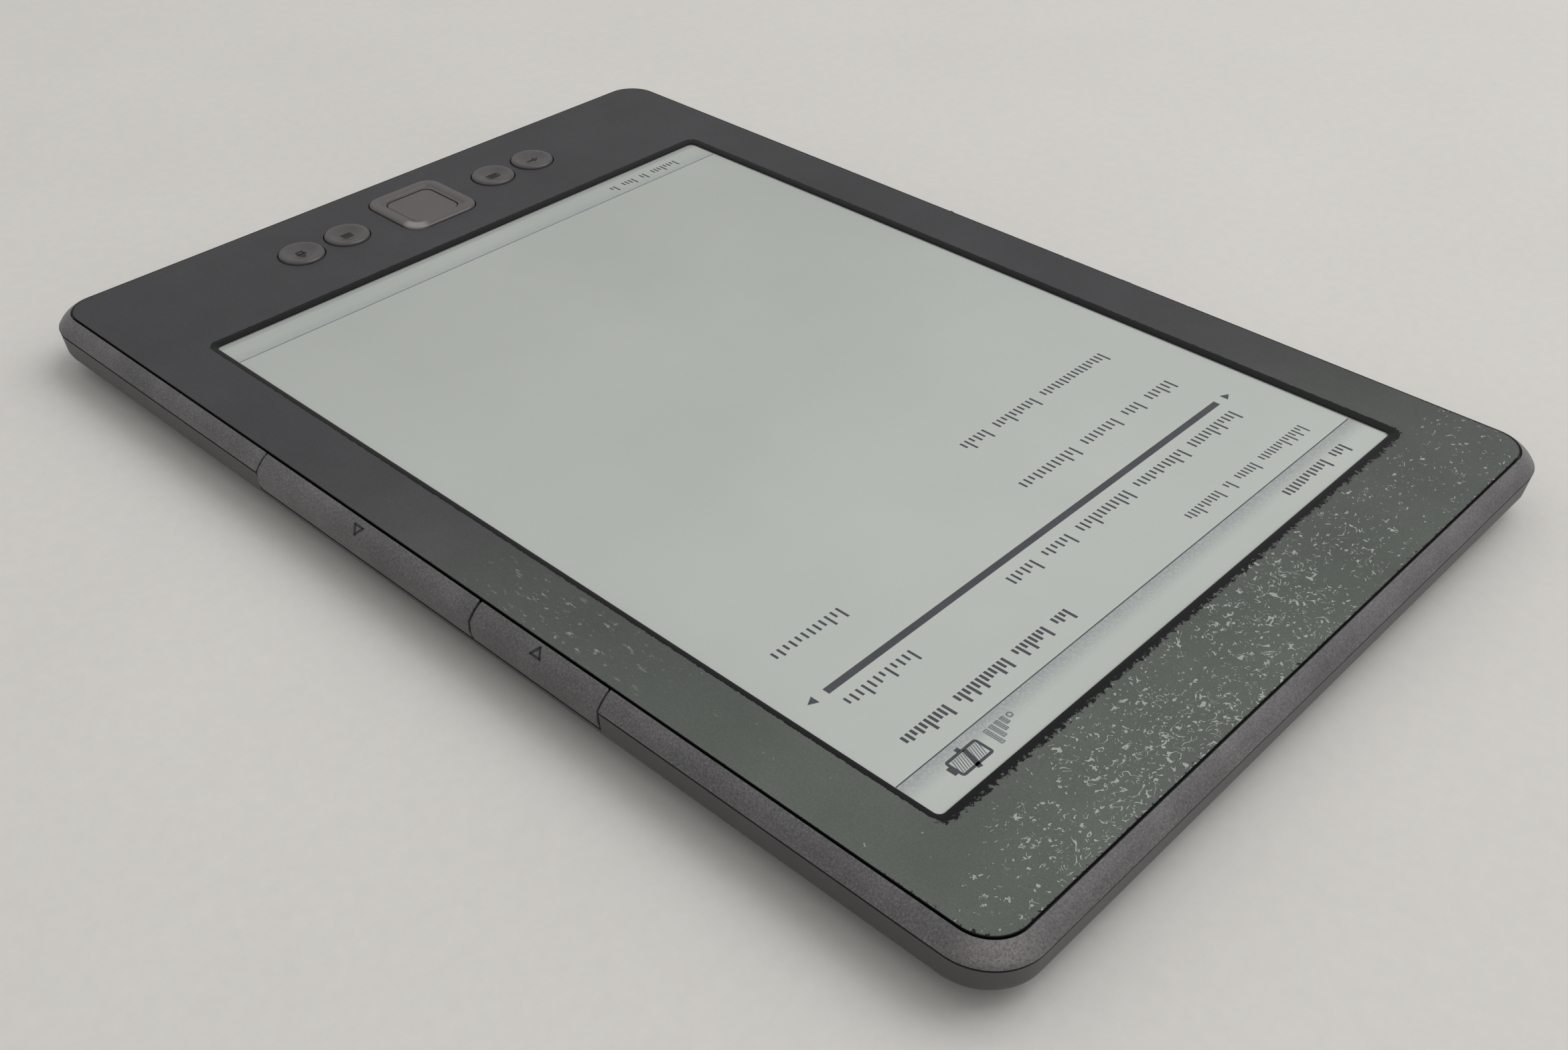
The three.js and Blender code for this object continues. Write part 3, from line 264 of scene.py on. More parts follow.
def plate(name, half_x, half_y, radius, z, x=0.0, y=0.0, steps=CORNER_STEPS):
    """A flat rounded rectangle that faces up, left in edit mode with its face selected."""
    deselect_everything()
    bpy.ops.mesh.primitive_plane_add(size=2, location=(x, y, z))
    bpy.context.object.scale = (half_x, half_y, 1)
    piece = settle(name)
    edit(piece)
    bpy.ops.mesh.select_all(action="SELECT")
    if radius > 0:
        bpy.ops.mesh.bevel(offset=radius, segments=steps, affect="VERTICES")
    pick(piece, "FACE")
    return piece


def disc(name, radius, z, x=0.0, y=0.0, sides=64):
    """A flat round face that faces up, left in edit mode with its face selected."""
    deselect_everything()
    bpy.ops.mesh.primitive_circle_add(vertices=sides, radius=radius, fill_type="NGON", location=(x, y, z))
    piece = settle(name)
    edit(piece)
    pick(piece, "FACE")
    return piece


def deselect_everything():
    leave_edit()
    bpy.ops.object.select_all(action="DESELECT")


def rise(*steps):
    """Insets the selected face in steps of (inwards, upwards)."""
    for inwards, upwards in steps:
        bpy.ops.mesh.inset(thickness=inwards, depth=upwards, use_even_offset=True)


def pull(distance, axis=(0, 0, 1)):
    """Extrudes what is selected along an axis."""
    move = Vector(axis) * distance
    bpy.ops.mesh.extrude_region_move(TRANSFORM_OT_translate={"value": move})


def draw_in(inset, next_inset):
    """Takes the selected outline from one inset of the body's outline to another."""
    share_x = (HALF_WIDTH - next_inset) / (HALF_WIDTH - inset)
    share_y = (HALF_LENGTH - next_inset) / (HALF_LENGTH - inset)
    bpy.ops.transform.resize(value=(share_x, share_y, 1), center_override=(0, 0, 0))


def outwards(piece):
    """Turns every face outwards and returns to object mode."""
    bpy.ops.mesh.select_all(action="SELECT")
    bpy.ops.mesh.normals_make_consistent(inside=False)
    leave_edit()
    return piece


def block(name, half_x, half_y, radius, low, high, x=0.0, y=0.0, steps=CORNER_STEPS):
    """A closed slab with rounded corners."""
    piece = plate(name, half_x, half_y, radius, low, x, y, steps)
    pull(high - low)
    return outwards(piece)


def post(name, radius, low, high, x, y, sides=64):
    """A closed round pin."""
    piece = disc(name, radius, low, x, y, sides)
    pull(high - low)
    return outwards(piece)


def brick(name, low, high):
    """A plain box between two corners, used as a cutting tool or a start."""
    deselect_everything()
    low, high = Vector(low), Vector(high)
    bpy.ops.mesh.primitive_cube_add(size=1, location=(low + high) / 2)
    bpy.context.object.scale = high - low
    return settle(name)


def apply_modifier(piece, kind, **settings):
    choose(piece)
    modifier = piece.modifiers.new(kind.lower(), kind)
    for key, value in settings.items():
        setattr(modifier, key, value)
    bpy.ops.object.modifier_apply(modifier=modifier.name)


def carve(piece, *tools):
    """Cuts each tool out of a piece and removes the tool."""
    for tool in tools:
        apply_modifier(piece, "BOOLEAN", object=tool, operation="DIFFERENCE", solver="EXACT")
        bpy.data.objects.remove(tool)


def soften(piece, width, segments=2, angle=30):
    """Rounds a piece's sharp edges a little."""
    apply_modifier(
        piece, "BEVEL", width=width, segments=segments, limit_method="ANGLE",
        angle_limit=math.radians(angle), use_clamp_overlap=True, miter_outer="MITER_ARC",
    )


def polish(piece, angle=40):
    """Smooth shading that keeps flat faces flat."""
    choose(piece)
    bpy.ops.object.shade_smooth_by_angle(angle=math.radians(angle))
    apply_modifier(piece, "WEIGHTED_NORMAL", mode="FACE_AREA", weight=80, keep_sharp=True)


def tidy(piece):
    """Merges doubled corners left by a cut and turns every face outwards."""
    edit(piece)
    bpy.ops.mesh.select_all(action="SELECT")
    bpy.ops.mesh.remove_doubles(threshold=MERGE_DISTANCE)
    outwards(piece)


def merge(name, pieces):
    """Joins several pieces into one."""
    deselect_everything()
    for piece in pieces:
        piece.select_set(True)
    bpy.context.view_layer.objects.active = pieces[0]
    if len(pieces) > 1:
        bpy.ops.object.join()
    pieces[0].name = name
    pieces[0].data.name = name
    return pieces[0]


def add_to_reader(piece, body, slot, finish, *nodes):
    """Gives a finished piece its material and its body, and hides the CAD nodes that it stands for."""
    choose(piece)
    piece.scale = (MM, MM, MM)
    bpy.ops.object.transform_apply(scale=True)
    piece.data.materials.clear()
    piece.data.materials.append(finish)
    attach(piece, body)
    if nodes:
        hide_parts(*nodes)


# ---- Finishes ----
class Finish:
    """A procedural material on Object coordinates in millimetres."""

    def __init__(self, name, roughness=0.5, metallic=0.0, **constants):
        self.material = bpy.data.materials.new(name)
        self.material.use_nodes = True
        self.tree = self.material.node_tree
        self.shader = self.tree.nodes["Principled BSDF"]
        self.shader.inputs["Roughness"].default_value = roughness
        self.shader.inputs["Metallic"].default_value = metallic
        for key, value in constants.items():
            self.shader.inputs[key].default_value = value
        coordinates = self.tree.nodes.new("ShaderNodeTexCoord")
        scale = self.tree.nodes.new("ShaderNodeVectorMath")
        scale.operation = "SCALE"
        scale.inputs["Scale"].default_value = 1 / MM
        self.tree.links.new(coordinates.outputs["Object"], scale.inputs[0])
        self.place = scale.outputs[0]

    def link(self, value, socket):
        """Puts a value or another node's output into a socket."""
        if isinstance(value, bpy.types.NodeSocket):
            self.tree.links.new(value, socket)
        else:
            socket.default_value = value

    def noise(self, scale, detail=2.0, roughness=0.5, distortion=0.0, vector=None):
        node = self.tree.nodes.new("ShaderNodeTexNoise")
        node.inputs["Scale"].default_value = scale
        node.inputs["Detail"].default_value = detail
        node.inputs["Roughness"].default_value = roughness
        node.inputs["Distortion"].default_value = distortion
        self.tree.links.new(vector or self.place, node.inputs["Vector"])
        return node.outputs["Fac"]

    def stretch(self, scale, turn=0.0):
        """The place with each axis scaled, after a turn round the upright axis."""
        node = self.tree.nodes.new("ShaderNodeMapping")
        node.inputs["Scale"].default_value = scale
        node.inputs["Rotation"].default_value = (0, 0, math.radians(turn))
        self.tree.links.new(self.place, node.inputs["Vector"])
        return node.outputs["Vector"]

    def axes(self):
        node = self.tree.nodes.new("ShaderNodeSeparateXYZ")
        self.tree.links.new(self.place, node.inputs[0])
        return node.outputs[0], node.outputs[1], node.outputs[2]

    def math(self, operation, a, b=0.0, c=0.0):
        node = self.tree.nodes.new("ShaderNodeMath")
        node.operation = operation
        for value, socket in zip((a, b, c), node.inputs):
            self.link(value, socket)
        return node.outputs[0]

    def times(self, *values):
        """The product of two or more values."""
        product = values[0]
        for value in values[1:]:
            product = self.math("MULTIPLY", product, value)
        return product

    def scaled(self, value, factor, base):
        """A value times a factor, on top of a base."""
        return self.math("MULTIPLY_ADD", value, factor, base)

    def rest_of(self, share):
        """What a share leaves of 1."""
        return self.math("SUBTRACT", 1.0, share)

    def band(self, value, start, end):
        """0 below start, 1 above end, smooth between them."""
        node = self.tree.nodes.new("ShaderNodeMapRange")
        node.interpolation_type = "SMOOTHSTEP"
        self.link(value, node.inputs["Value"])
        node.inputs["From Min"].default_value = start
        node.inputs["From Max"].default_value = end
        return node.outputs["Result"]

    def ramp(self, value, *stops):
        """A colour between (position, colour) stops."""
        node = self.tree.nodes.new("ShaderNodeValToRGB")
        elements = node.color_ramp.elements
        while len(elements) < len(stops):
            elements.new(0.5)
        for element, (position, colour) in zip(elements, stops):
            element.position = position
            element.color = (*colour, 1)
        self.link(value, node.inputs["Fac"])
        return node.outputs["Color"]

    def mix(self, share, low, high, blend="MIX"):
        """Two colours mixed by a share."""
        node = self.tree.nodes.new("ShaderNodeMix")
        node.data_type = "RGBA"
        node.blend_type = blend
        self.link(share, node.inputs["Factor"])
        sockets = [socket for socket in node.inputs if socket.type == "RGBA"]
        for value, socket in zip((low, high), sockets):
            self.link((*value, 1) if isinstance(value, tuple) else value, socket)
        return next(socket for socket in node.outputs if socket.type == "RGBA")

    def bump(self, height, depth, strength):
        """A relief of a depth in millimetres."""
        node = self.tree.nodes.new("ShaderNodeBump")
        node.inputs["Strength"].default_value = strength
        node.inputs["Distance"].default_value = depth * MM
        self.link(height, node.inputs["Height"])
        return node.outputs["Normal"]

    def paint(self, colour, roughness, normal):
        """Links the three to the shader and gives the finished material."""
        for value, name in ((colour, "Base Color"), (roughness, "Roughness"), (normal, "Normal")):
            self.tree.links.new(value, self.shader.inputs[name])
        return self.material


def rectangle_distance(finish, x, y, half_x, half_y, radius, middle_y=0.0):
    """Millimetres outside a rounded rectangle's edge, negative inside it."""
    across = finish.math("SUBTRACT", finish.math("ABSOLUTE", x), half_x - radius)
    along = finish.math("ABSOLUTE", finish.math("SUBTRACT", y, middle_y))
    along = finish.math("SUBTRACT", along, half_y - radius)
    outer_x = finish.math("MAXIMUM", across, 0.0)
    outer_y = finish.math("MAXIMUM", along, 0.0)
    corner = finish.math("SQRT", finish.scaled(outer_x, outer_x, finish.times(outer_y, outer_y)))
    inner = finish.math("MINIMUM", finish.math("MAXIMUM", across, along), 0.0)
    return finish.math("SUBTRACT", finish.math("ADD", corner, inner), radius)


def torn_coat(finish, x, y):
    """1 where the coating holds, 0 where it is torn: at the rim and round the window, most above it."""
    window = rectangle_distance(finish, x, y, WINDOW_HALF_X, WINDOW_HALF_Y, WINDOW_CORNER, WINDOW_Y)
    rim = rectangle_distance(finish, x, y, panel_high.x, panel_high.y, CORNER_RADIUS - SEAM_INSET)
    ragged = finish.noise(1.5, 5.0, 0.75)
    head = finish.band(y, 66.5, 67.6)
    window_tear = finish.times(finish.band(ragged, 0.34, 0.68), finish.scaled(head, 0.8, 0.16))
    window = finish.math("SUBTRACT", window, finish.math("ADD", window_tear, 0.02))
    rim_tear = finish.times(finish.band(ragged, 0.52, 0.74), finish.scaled(head, 0.45, 0.12))
    rim = finish.math("ADD", rim, finish.math("ADD", rim_tear, 0.04))
    return finish.times(finish.band(window, 0.0, 0.05), finish.rest_of(finish.band(rim, -0.03, 0.03)))


def curled_flakes(finish, x, y):
    """Broken level lines of two noises in the upper border, thinning out towards its left end."""
    upper = finish.band(finish.scaled(y, 2.2, finish.times(x, -1.0)), 106.0, 140.0)
    upper = finish.times(finish.band(y, 66.5, 71.5), upper)
    upper = finish.times(upper, finish.scaled(finish.band(x, -36.0, -8.0), 0.85, 0.15))
    area = finish.times(upper, finish.band(finish.noise(0.16, 3.0), 0.32, 0.50))
    layers = []
    for scale, level in FLAKE_LAYERS:
        curls = finish.noise(scale, 1.0, 0.5, 1.2)
        line = finish.math("ABSOLUTE", finish.math("SUBTRACT", curls, level))
        line = finish.rest_of(finish.band(line, 0.030 * scale, 0.066 * scale))
        breaks = finish.noise(scale * 1.5, 1.0, 0.5, 0.6, finish.stretch((1.0, 1.5, 1.0), 40.0))
        breaks = finish.band(finish.scaled(area, 0.12, breaks), 0.635, 0.665)
        layers.append(finish.times(line, breaks))
    return finish.times(finish.math("MAXIMUM", *layers), finish.band(upper, 0.02, 0.12))


def specks_and_scuffs(finish, x, y):
    """Fine specks in the upper right and a patch of short scuffs on the right border."""
    specks = finish.band(finish.noise(1.6, 2.0, 0.6, 0.4), 0.70, 0.76)
    specks = finish.times(specks, finish.band(y, -5.0, 60.0), finish.band(x, 20.0, 48.0), 0.6)
    scuffs = finish.noise(1.4, 3.0, 0.7, vector=finish.stretch((1.0, 0.35, 1.0), -12.0))
    scuffs = finish.times(finish.band(scuffs, 0.58, 0.66), finish.band(x, 46.5, 48.5), 0.6)
    scuffs = finish.times(scuffs, finish.band(y, 4.0, 14.0), finish.rest_of(finish.band(y, 24.0, 38.0)))
    return finish.math("MAXIMUM", specks, scuffs)


def panel_finish():
    """Satin graphite coating over a black plate: torn at its edges, flaked, and with a painted sheen:
    lighter towards the upper right, darker and more violet towards the chin.
    """
    finish = Finish("graphite_coating", roughness=0.45, **{"Specular IOR Level": 0.15})
    x, y = finish.axes()[:2]
    coat = torn_coat(finish, x, y)
    flakes = finish.math("MAXIMUM", curled_flakes(finish, x, y), specks_and_scuffs(finish, x, y))
    flakes = finish.times(flakes, coat)
    grain = finish.noise(5.5, 4.0, 0.75)
    cloud = finish.noise(0.06, 4.0, 0.55)
    coating = finish.ramp(finish.scaled(grain, 0.6, finish.times(cloud, 0.4)), *COATING_TONES)
    # Painted sheen: a gradient that leaves the coating lighter towards the upper right and darkens it
    # towards the chin, standing in for reflected light.
    painted_sheen = finish.band(finish.scaled(x, 0.5, y), -10.0, 90.0)
    coating = finish.mix(1.0, coating, finish.mix(painted_sheen, SHEENLESS_END_TINT, NO_TINT), "MULTIPLY")
    coating = finish.mix(flakes, coating, FLAKE_COLOUR)
    colour = finish.mix(coat, finish.ramp(grain, *PLATE_TONES), coating)
    gloss = finish.scaled(coat, 0.16, finish.scaled(cloud, 0.12, 0.26))
    gloss = finish.scaled(flakes, -0.08, gloss)
    height = finish.scaled(grain, 0.22, finish.scaled(flakes, 1.8, coat))
    return finish.paint(colour, gloss, finish.bump(height, 0.08, 0.85))


def rim_finish():
    """Matte speckled plastic, rubbed lighter at the corners of the body."""
    finish = Finish("rim_plastic", roughness=0.55)
    x, y, z = finish.axes()
    speckle = finish.noise(4.2, 3.0, 0.8)
    fine = finish.noise(11.0, 2.0, 0.7)
    cloud = finish.noise(0.09, 3.0, 0.6)
    plain = finish.ramp(finish.scaled(speckle, 0.7, finish.times(cloud, 0.3)), *RIM_TONES)
    corner_x = finish.band(finish.math("ABSOLUTE", x), 49.0, 55.5)
    corner_y = finish.band(finish.math("ABSOLUTE", y), 75.0, 81.5)
    rub = finish.scaled(finish.band(finish.scaled(speckle, 0.8, fine), 0.72, 1.0), 0.6, 0.12)
    wear = finish.times(corner_x, corner_y, finish.band(z, 6.6, 7.4), rub)
    colour = finish.mix(wear, plain, RIM_WORN)
    chips = finish.times(finish.band(finish.noise(0.9, 3.0, 0.7), 0.70, 0.76), 0.35)
    colour = finish.mix(chips, colour, RIM_CHIP)
    height = finish.scaled(fine, 0.5, speckle)
    return finish.paint(colour, finish.scaled(speckle, 0.25, 0.40), finish.bump(height, 0.035, 0.7))


def key_finish():
    """Smooth brownish plastic, rubbed bright where a thumb meets the five-way's corner."""
    finish = Finish("key_plastic", roughness=0.35)
    x, y = finish.axes()[:2]
    fine = finish.noise(5.0, 4.0, 0.7)
    broad = finish.noise(0.22, 3.0, 0.5)
    tone = finish.scaled(fine, 0.5, finish.times(broad, 0.5))
    plain = finish.ramp(tone, *KEY_TONES)
    five_way = finish.rest_of(finish.band(finish.math("ABSOLUTE", x), 7.0, 9.0))
    plain = finish.mix(finish.times(five_way, 0.5), plain, FIVE_WAY_BROWN)
    reach_x = finish.math("SUBTRACT", x, RUBBED_KEY_CORNER[0])
    reach_y = finish.math("SUBTRACT", y, RUBBED_KEY_CORNER[1])
    squares = finish.scaled(reach_x, reach_x, finish.times(reach_y, reach_y))
    rub = finish.rest_of(finish.band(squares, 0.2, 5.5))
    colour = finish.mix(finish.times(rub, 0.8), plain, KEY_RUBBED)
    return finish.paint(colour, finish.scaled(tone, 0.25, 0.22), finish.bump(fine, 0.012, 0.7))


def speckled(name, low, high, roughness, scale, depth, metallic=0.0, stretch=None):
    """A moulded, rolled or coated surface: two tones, uneven gloss and a grain."""
    finish = Finish(name, roughness, metallic)
    vector = finish.stretch(stretch) if stretch else None
    fine = finish.noise(scale, 4.0, 0.7, vector=vector)
    broad = finish.noise(scale * 0.04, 3.0, 0.5)
    tone = finish.scaled(fine, 0.55, finish.times(broad, 0.45))
    colour = finish.ramp(tone, (0.33, low), (0.67, high))
    gloss = finish.scaled(tone, 0.3, roughness - 0.15)
    return finish.paint(colour, gloss, finish.bump(fine, depth, 0.7))


def paper_finish():
    """Grey-white e-paper with a fine grain, a shaded band beside each rule, a darker edge, and a painted
    shade that darkens it towards the chin.
    """
    finish = Finish("e_paper", roughness=0.62)
    x, y = finish.axes()[:2]
    grain = finish.noise(7.0, 3.0, 0.6)
    cloud = finish.noise(0.03, 3.0, 0.5)
    paper = finish.ramp(finish.scaled(grain, 0.3, finish.times(cloud, 0.7)), *PAPER_TONES)
    above_header = finish.band(y, HEADER_Y - 0.1, HEADER_Y + 0.1)
    header = finish.times(above_header, finish.rest_of(finish.band(y, HEADER_Y, HEADER_Y + 3.0)))
    below_footer = finish.rest_of(finish.band(y, FOOTER_Y - 0.1, FOOTER_Y + 0.1))
    footer = finish.times(below_footer, finish.band(y, FOOTER_Y - 2.5, FOOTER_Y))
    dither = finish.noise(3.2, 1.0, 0.5, vector=finish.stretch((1.0, 1.0, 1.0), 35.0))
    dither = finish.scaled(finish.band(dither, 0.3, 0.6), 0.35, 0.4)
    colour = finish.mix(finish.times(finish.scaled(footer, 0.35, header), dither), paper, PAPER_SHADE)
    edge_x = finish.band(finish.math("ABSOLUTE", x), 45.15, 45.45)
    edge_y = finish.band(finish.math("ABSOLUTE", finish.math("SUBTRACT", y, 5.46)), 61.05, 61.35)
    colour = finish.mix(finish.math("MAXIMUM", edge_x, edge_y), colour, PAPER_EDGE)
    # Painted shade: the whole sheet darkens from the head towards the chin.
    painted_falloff = finish.mix(finish.band(y, -70.0, 62.0), PAPER_CHIN_PAINTED_SHADE, PAPER_HEAD_PAINTED_SHADE)
    colour = finish.mix(1.0, colour, painted_falloff, "MULTIPLY")
    return finish.paint(colour, finish.scaled(grain, 0.2, 0.5), finish.bump(grain, 0.006, 0.4))

# ---- The camera ----
def make_camera():
    data = bpy.data.cameras.new("camera")
    camera = bpy.data.objects.new("camera", data)
    bpy.context.scene.collection.objects.link(camera)
    camera.location = Vector(CAMERA_PLACE) * MM
    camera.rotation_euler = [math.radians(angle) for angle in CAMERA_TURN]
    data.lens = CAMERA_LENS
    data.sensor_width = SENSOR_WIDTH
    data.shift_x, data.shift_y = CAMERA_SHIFT
    data.clip_start = CLIP_START
    bpy.context.scene.camera = camera


# ---- Body ----
def bevel_steps():
    """The rim's rounded bevel as (inwards, upwards) steps from the crease to the seam."""
    climb = TOP - CREASE_Z
    slant = math.hypot(SEAM_INSET, climb)

    def point(share):
        bulge = BEVEL_BULGE * 4 * share * (1 - share)
        return SEAM_INSET * share - bulge * climb / slant, climb * share + bulge * SEAM_INSET / slant

    points = [point(step / BEVEL_STEPS) for step in range(BEVEL_STEPS + 1)]
    return [(b[0] - a[0], b[1] - a[1]) for a, b in zip(points, points[1:])]


def page_pockets(low, high):
    """Cutting tools for the pockets that the page keys fill, with the gaps round the keys."""
    outer_x = HALF_WIDTH + OVERSHOOT
    tools = []
    for side, x0, x1 in (("right", POCKET_INNER_X, outer_x), ("left", -outer_x, -POCKET_INNER_X)):
        y0 = cad_box(f"next_page_key_{side}")[0].y - POCKET_GAP
        y1 = cad_box(f"last_page_key_{side}")[1].y + POCKET_GAP
        tools.append(brick("pocket", (x0, y0, low), (x1, y1, high)))
    return tools


def key_place(name):
    """A round key's middle and the radius of its cap."""
    x, y, z = middle(name)
    return x, y, half_sizes(name)[1] - KEY_FLANGE


def nav_box():
    """The ring's lowest and highest corners without its flange."""
    low, high = cad_box("nav_ring")
    flange = Vector((NAV_FLANGE, NAV_FLANGE, 0))
    return low + flange, high - flange


def chin_holes(low, high):
    """Cutting tools for the round keys and the ring."""
    tools = []
    for name in CHIN_KEYS:
        x, y, radius = key_place(name)
        tools.append(post("hole", radius + KEY_GAP, low, high, x, y))
    nav_low, nav_high = nav_box()
    half = (nav_high.x - nav_low.x) / 2 + KEY_GAP
    tools.append(block("hole", half, half, NAV_CORNER + KEY_GAP, low, high, 0, (nav_low.y + nav_high.y) / 2))
    return tools


def make_front_frame(finish):
    """The bevelled rim, from the seam round the panel down to the parting line."""
    piece = plate("front_frame_looks", HALF_WIDTH, HALF_LENGTH, CORNER_RADIUS, CREASE_Z)
    rise(*bevel_steps())
    pick(piece, "EDGE", lambda edge: edge.is_boundary)
    pull(FRAME_BOTTOM - CREASE_Z)
    draw_in(0, CREASE_TUCK)
    bpy.ops.mesh.edge_face_add()
    outwards(piece)
    inner = SEAM_INSET - SEAM_GAP / 2
    inner_x, inner_y = HALF_WIDTH - inner, HALF_LENGTH - inner
    pocket = block("pocket", inner_x, inner_y, CORNER_RADIUS - inner, TOP - WEB_DROP, TOP + OVERSHOOT)
    glass_low, glass_high = cad_box("display_glass")
    opening = brick("opening", (glass_low.x, glass_low.y, 0), (glass_high.x, glass_high.y, TOP + OVERSHOOT))
    carve(piece, pocket, opening, *page_pockets(0, TOP + OVERSHOOT), *chin_holes(0, TOP + OVERSHOOT))
    tidy(piece)
    soften(piece, 0.1, 2, 28)
    polish(piece)
    add_to_reader(piece, "housing", "rim_plastic", finish, "front_frame")


def make_rear_case(finish):
    """A thin shell: a band under the parting line, then a quarter round down to the flat back."""
    piece = plate("rear_case_looks", HALF_WIDTH, HALF_LENGTH, CORNER_RADIUS, REAR_TOP)
    bpy.ops.mesh.delete(type="ONLY_FACE")
    bpy.ops.mesh.select_mode(type="EDGE")
    bpy.ops.mesh.select_all(action="SELECT")
    draw_in(0, REAR_TUCK)
    rings = [(UNDER_RISE, BAND_INSET)]
    for step in range(1, UNDER_STEPS + 1):
        angle = step / UNDER_STEPS * math.pi / 2
        rings.append((UNDER_RISE * (1 - math.sin(angle)), BAND_INSET + UNDER_RUN * (1 - math.cos(angle))))
    z, inset = REAR_TOP, REAR_TUCK
    for next_z, next_inset in rings:
        pull(next_z - z)
        draw_in(inset, next_inset)
        z, inset = next_z, next_inset
    bpy.ops.mesh.edge_face_add()
    outwards(piece)
    apply_modifier(piece, "SOLIDIFY", thickness=REAR_WALL, offset=-1, use_even_offset=True)
    pockets = page_pockets(cad_box("next_page_key_right")[0].z - POCKET_FLOOR_GAP, TOP)
    carve(piece, *pockets, *foot_holes(), *contact_holes())
    tidy(piece)
    soften(piece, 0.12, 2, 30)
    polish(piece)
    add_to_reader(piece, "housing", "rear_plastic", finish, "rear_case")


def upright_block(name, half_x, half_z, radius, x, z, y0, y1):
    """A slab with rounded corners that runs along Y."""
    deselect_everything()
    bpy.ops.mesh.primitive_plane_add(size=2, location=(x, y0, z), rotation=(math.radians(90), 0, 0))
    bpy.context.object.scale = (half_x, half_z, 1)
    piece = settle(name)
    edit(piece)
    bpy.ops.mesh.select_all(action="SELECT")
    bpy.ops.mesh.bevel(offset=radius, segments=END_STEPS, affect="VERTICES")
    pick(piece, "FACE")
    pull(y1 - y0, (0, 1, 0))
    return outwards(piece)


def power_place():
    """The power button's middle, level with the charge light, and half its width and height."""
    x, z = middle("power_button")[0], middle("charge_light")[2]
    return x, z, half_sizes("power_button")[0] - POWER_FLANGE, POWER_HALF_Z


def foot_holes():
    """Cutting tools for the socket, the power button and the charge light."""
    places = []
    for node, share in (("usb_socket", SOCKET_HOLE_ROUND), ("charge_light", NEARLY_ROUND)):
        x, y, z = middle(node)
        half_x, half_y, half_z = half_sizes(node)
        places.append((x, z, half_x, half_z, share))
    places.append((*power_place(), NEARLY_ROUND))
    tools = []
    for x, z, half_x, half_z, share in places:
        half_x, half_z = half_x + FOOT_GAP, half_z + FOOT_GAP
        y0, y1 = -HALF_LENGTH - OVERSHOOT, -HALF_LENGTH + FOOT_HOLE_DEPTH
        tools.append(upright_block("hole", half_x, half_z, half_z * share, x, z, y0, y1))
    return tools


def contact_holes():
    """Cutting tools for the two cover contacts."""
    tools = []
    for node in COVER_CONTACTS:
        x, y, z = middle(node)
        radius = half_sizes(node)[0] + CONTACT_GAP
        tools.append(post("hole", radius, -OVERSHOOT, CONTACT_HOLE_TOP, x, y, CONTACT_SIDES))
    return tools


def make_panel(finish):
    """The coated front plate, with a sloping lip round the window."""
    inset = SEAM_INSET + SEAM_GAP / 2
    half_x, half_y = HALF_WIDTH - inset, HALF_LENGTH - inset
    radius = CORNER_RADIUS - SEAM_INSET - SEAM_GAP / 2
    piece = block("front_panel_looks", half_x, half_y, radius, PANEL_BOTTOM, TOP)
    lower_x, lower_y = WINDOW_HALF_X - LIP_INSET, WINDOW_HALF_Y - LIP_INSET
    window = plate("window", lower_x, lower_y, LIP_CORNER, PANEL_BOTTOM - UNDERCUT, 0, WINDOW_Y)
    pull(TOP - LIP_DROP + UNDERCUT - PANEL_BOTTOM)
    pull(LIP_DROP)
    grow = (WINDOW_HALF_X / lower_x, WINDOW_HALF_Y / lower_y, 1)
    bpy.ops.transform.resize(value=grow, center_override=(0, WINDOW_Y, TOP))
    pull(OVERSHOOT)
    outwards(window)
    carve(piece, window, *chin_holes(PANEL_BOTTOM - OVERSHOOT, TOP + OVERSHOOT))
    tidy(piece)
    soften(piece, 0.07, 2, 25)
    polish(piece, 25)
    add_to_reader(piece, "housing", "panel_coating", finish, "front_panel")


def make_film(finish):
    """The e-paper sheet."""
    half_x, half_y, half_z = half_sizes("display_film")
    piece = block(
        "display_film_looks", half_x, half_y, FILM_CORNER, film_low.z, FILM_TOP, 0, WINDOW_Y, 6
    )
    soften(piece, 0.05)
    polish(piece)
    add_to_reader(piece, "housing", "e_paper", finish, "display_film")


# ---- Keys ----
def make_round_key(name, finish):
    """A round cap with a ridge and a dish."""
    x, y, radius = key_place(name)
    bottom = cad_box(name)[0].z
    piece = disc(f"{name}_looks", radius, bottom, x, y, KEY_SIDES)
    pull(TOP - bottom + CAP_LIFT)
    rise(*ROUND_KEY_STEPS)
    outwards(piece)
    polish(piece, 50)
    add_to_reader(piece, f"{name.split('_')[0]}_push", "key_plastic", finish, name)


def make_nav(finish):
    """The square tilting ring and the select key in its middle."""
    low, high = nav_box()
    y = (low.y + high.y) / 2
    half = (high.x - low.x) / 2
    ring = plate("nav_ring_looks", half, half, NAV_CORNER, low.z, 0, y, NAV_STEPS)
    pull(TOP - low.z)
    rise(*NAV_RING_STEPS)
    outwards(ring)
    half = half_sizes("select_key")[0] - SELECT_FLANGE
    hole = half + SELECT_GAP
    carve(ring, block("hole", hole, hole, SELECT_HOLE_CORNER, 0, TOP + OVERSHOOT, 0, y, SELECT_STEPS))
    tidy(ring)
    polish(ring, 35)
    add_to_reader(ring, "nav_tilt_ring", "key_plastic", finish, "nav_ring")
    bottom = cad_box("select_key")[0].z
    select = plate("select_key_looks", half, half, SELECT_CORNER, bottom, 0, y, SELECT_STEPS)
    pull(TOP - SELECT_DROP - bottom)
    rise(*SELECT_KEY_STEPS)
    outwards(select)
    polish(select, 50)
    add_to_reader(select, "select_push", "key_plastic", finish, "select_key")


def profile_points():
    """The bevel's (x, z) points on the right side, from the crease up to the seam."""
    x, z = HALF_WIDTH, CREASE_Z
    points = [(x, z)]
    for inwards, upwards in bevel_steps():
        x, z = x - inwards, z + upwards
        points.append((x, z))
    return points


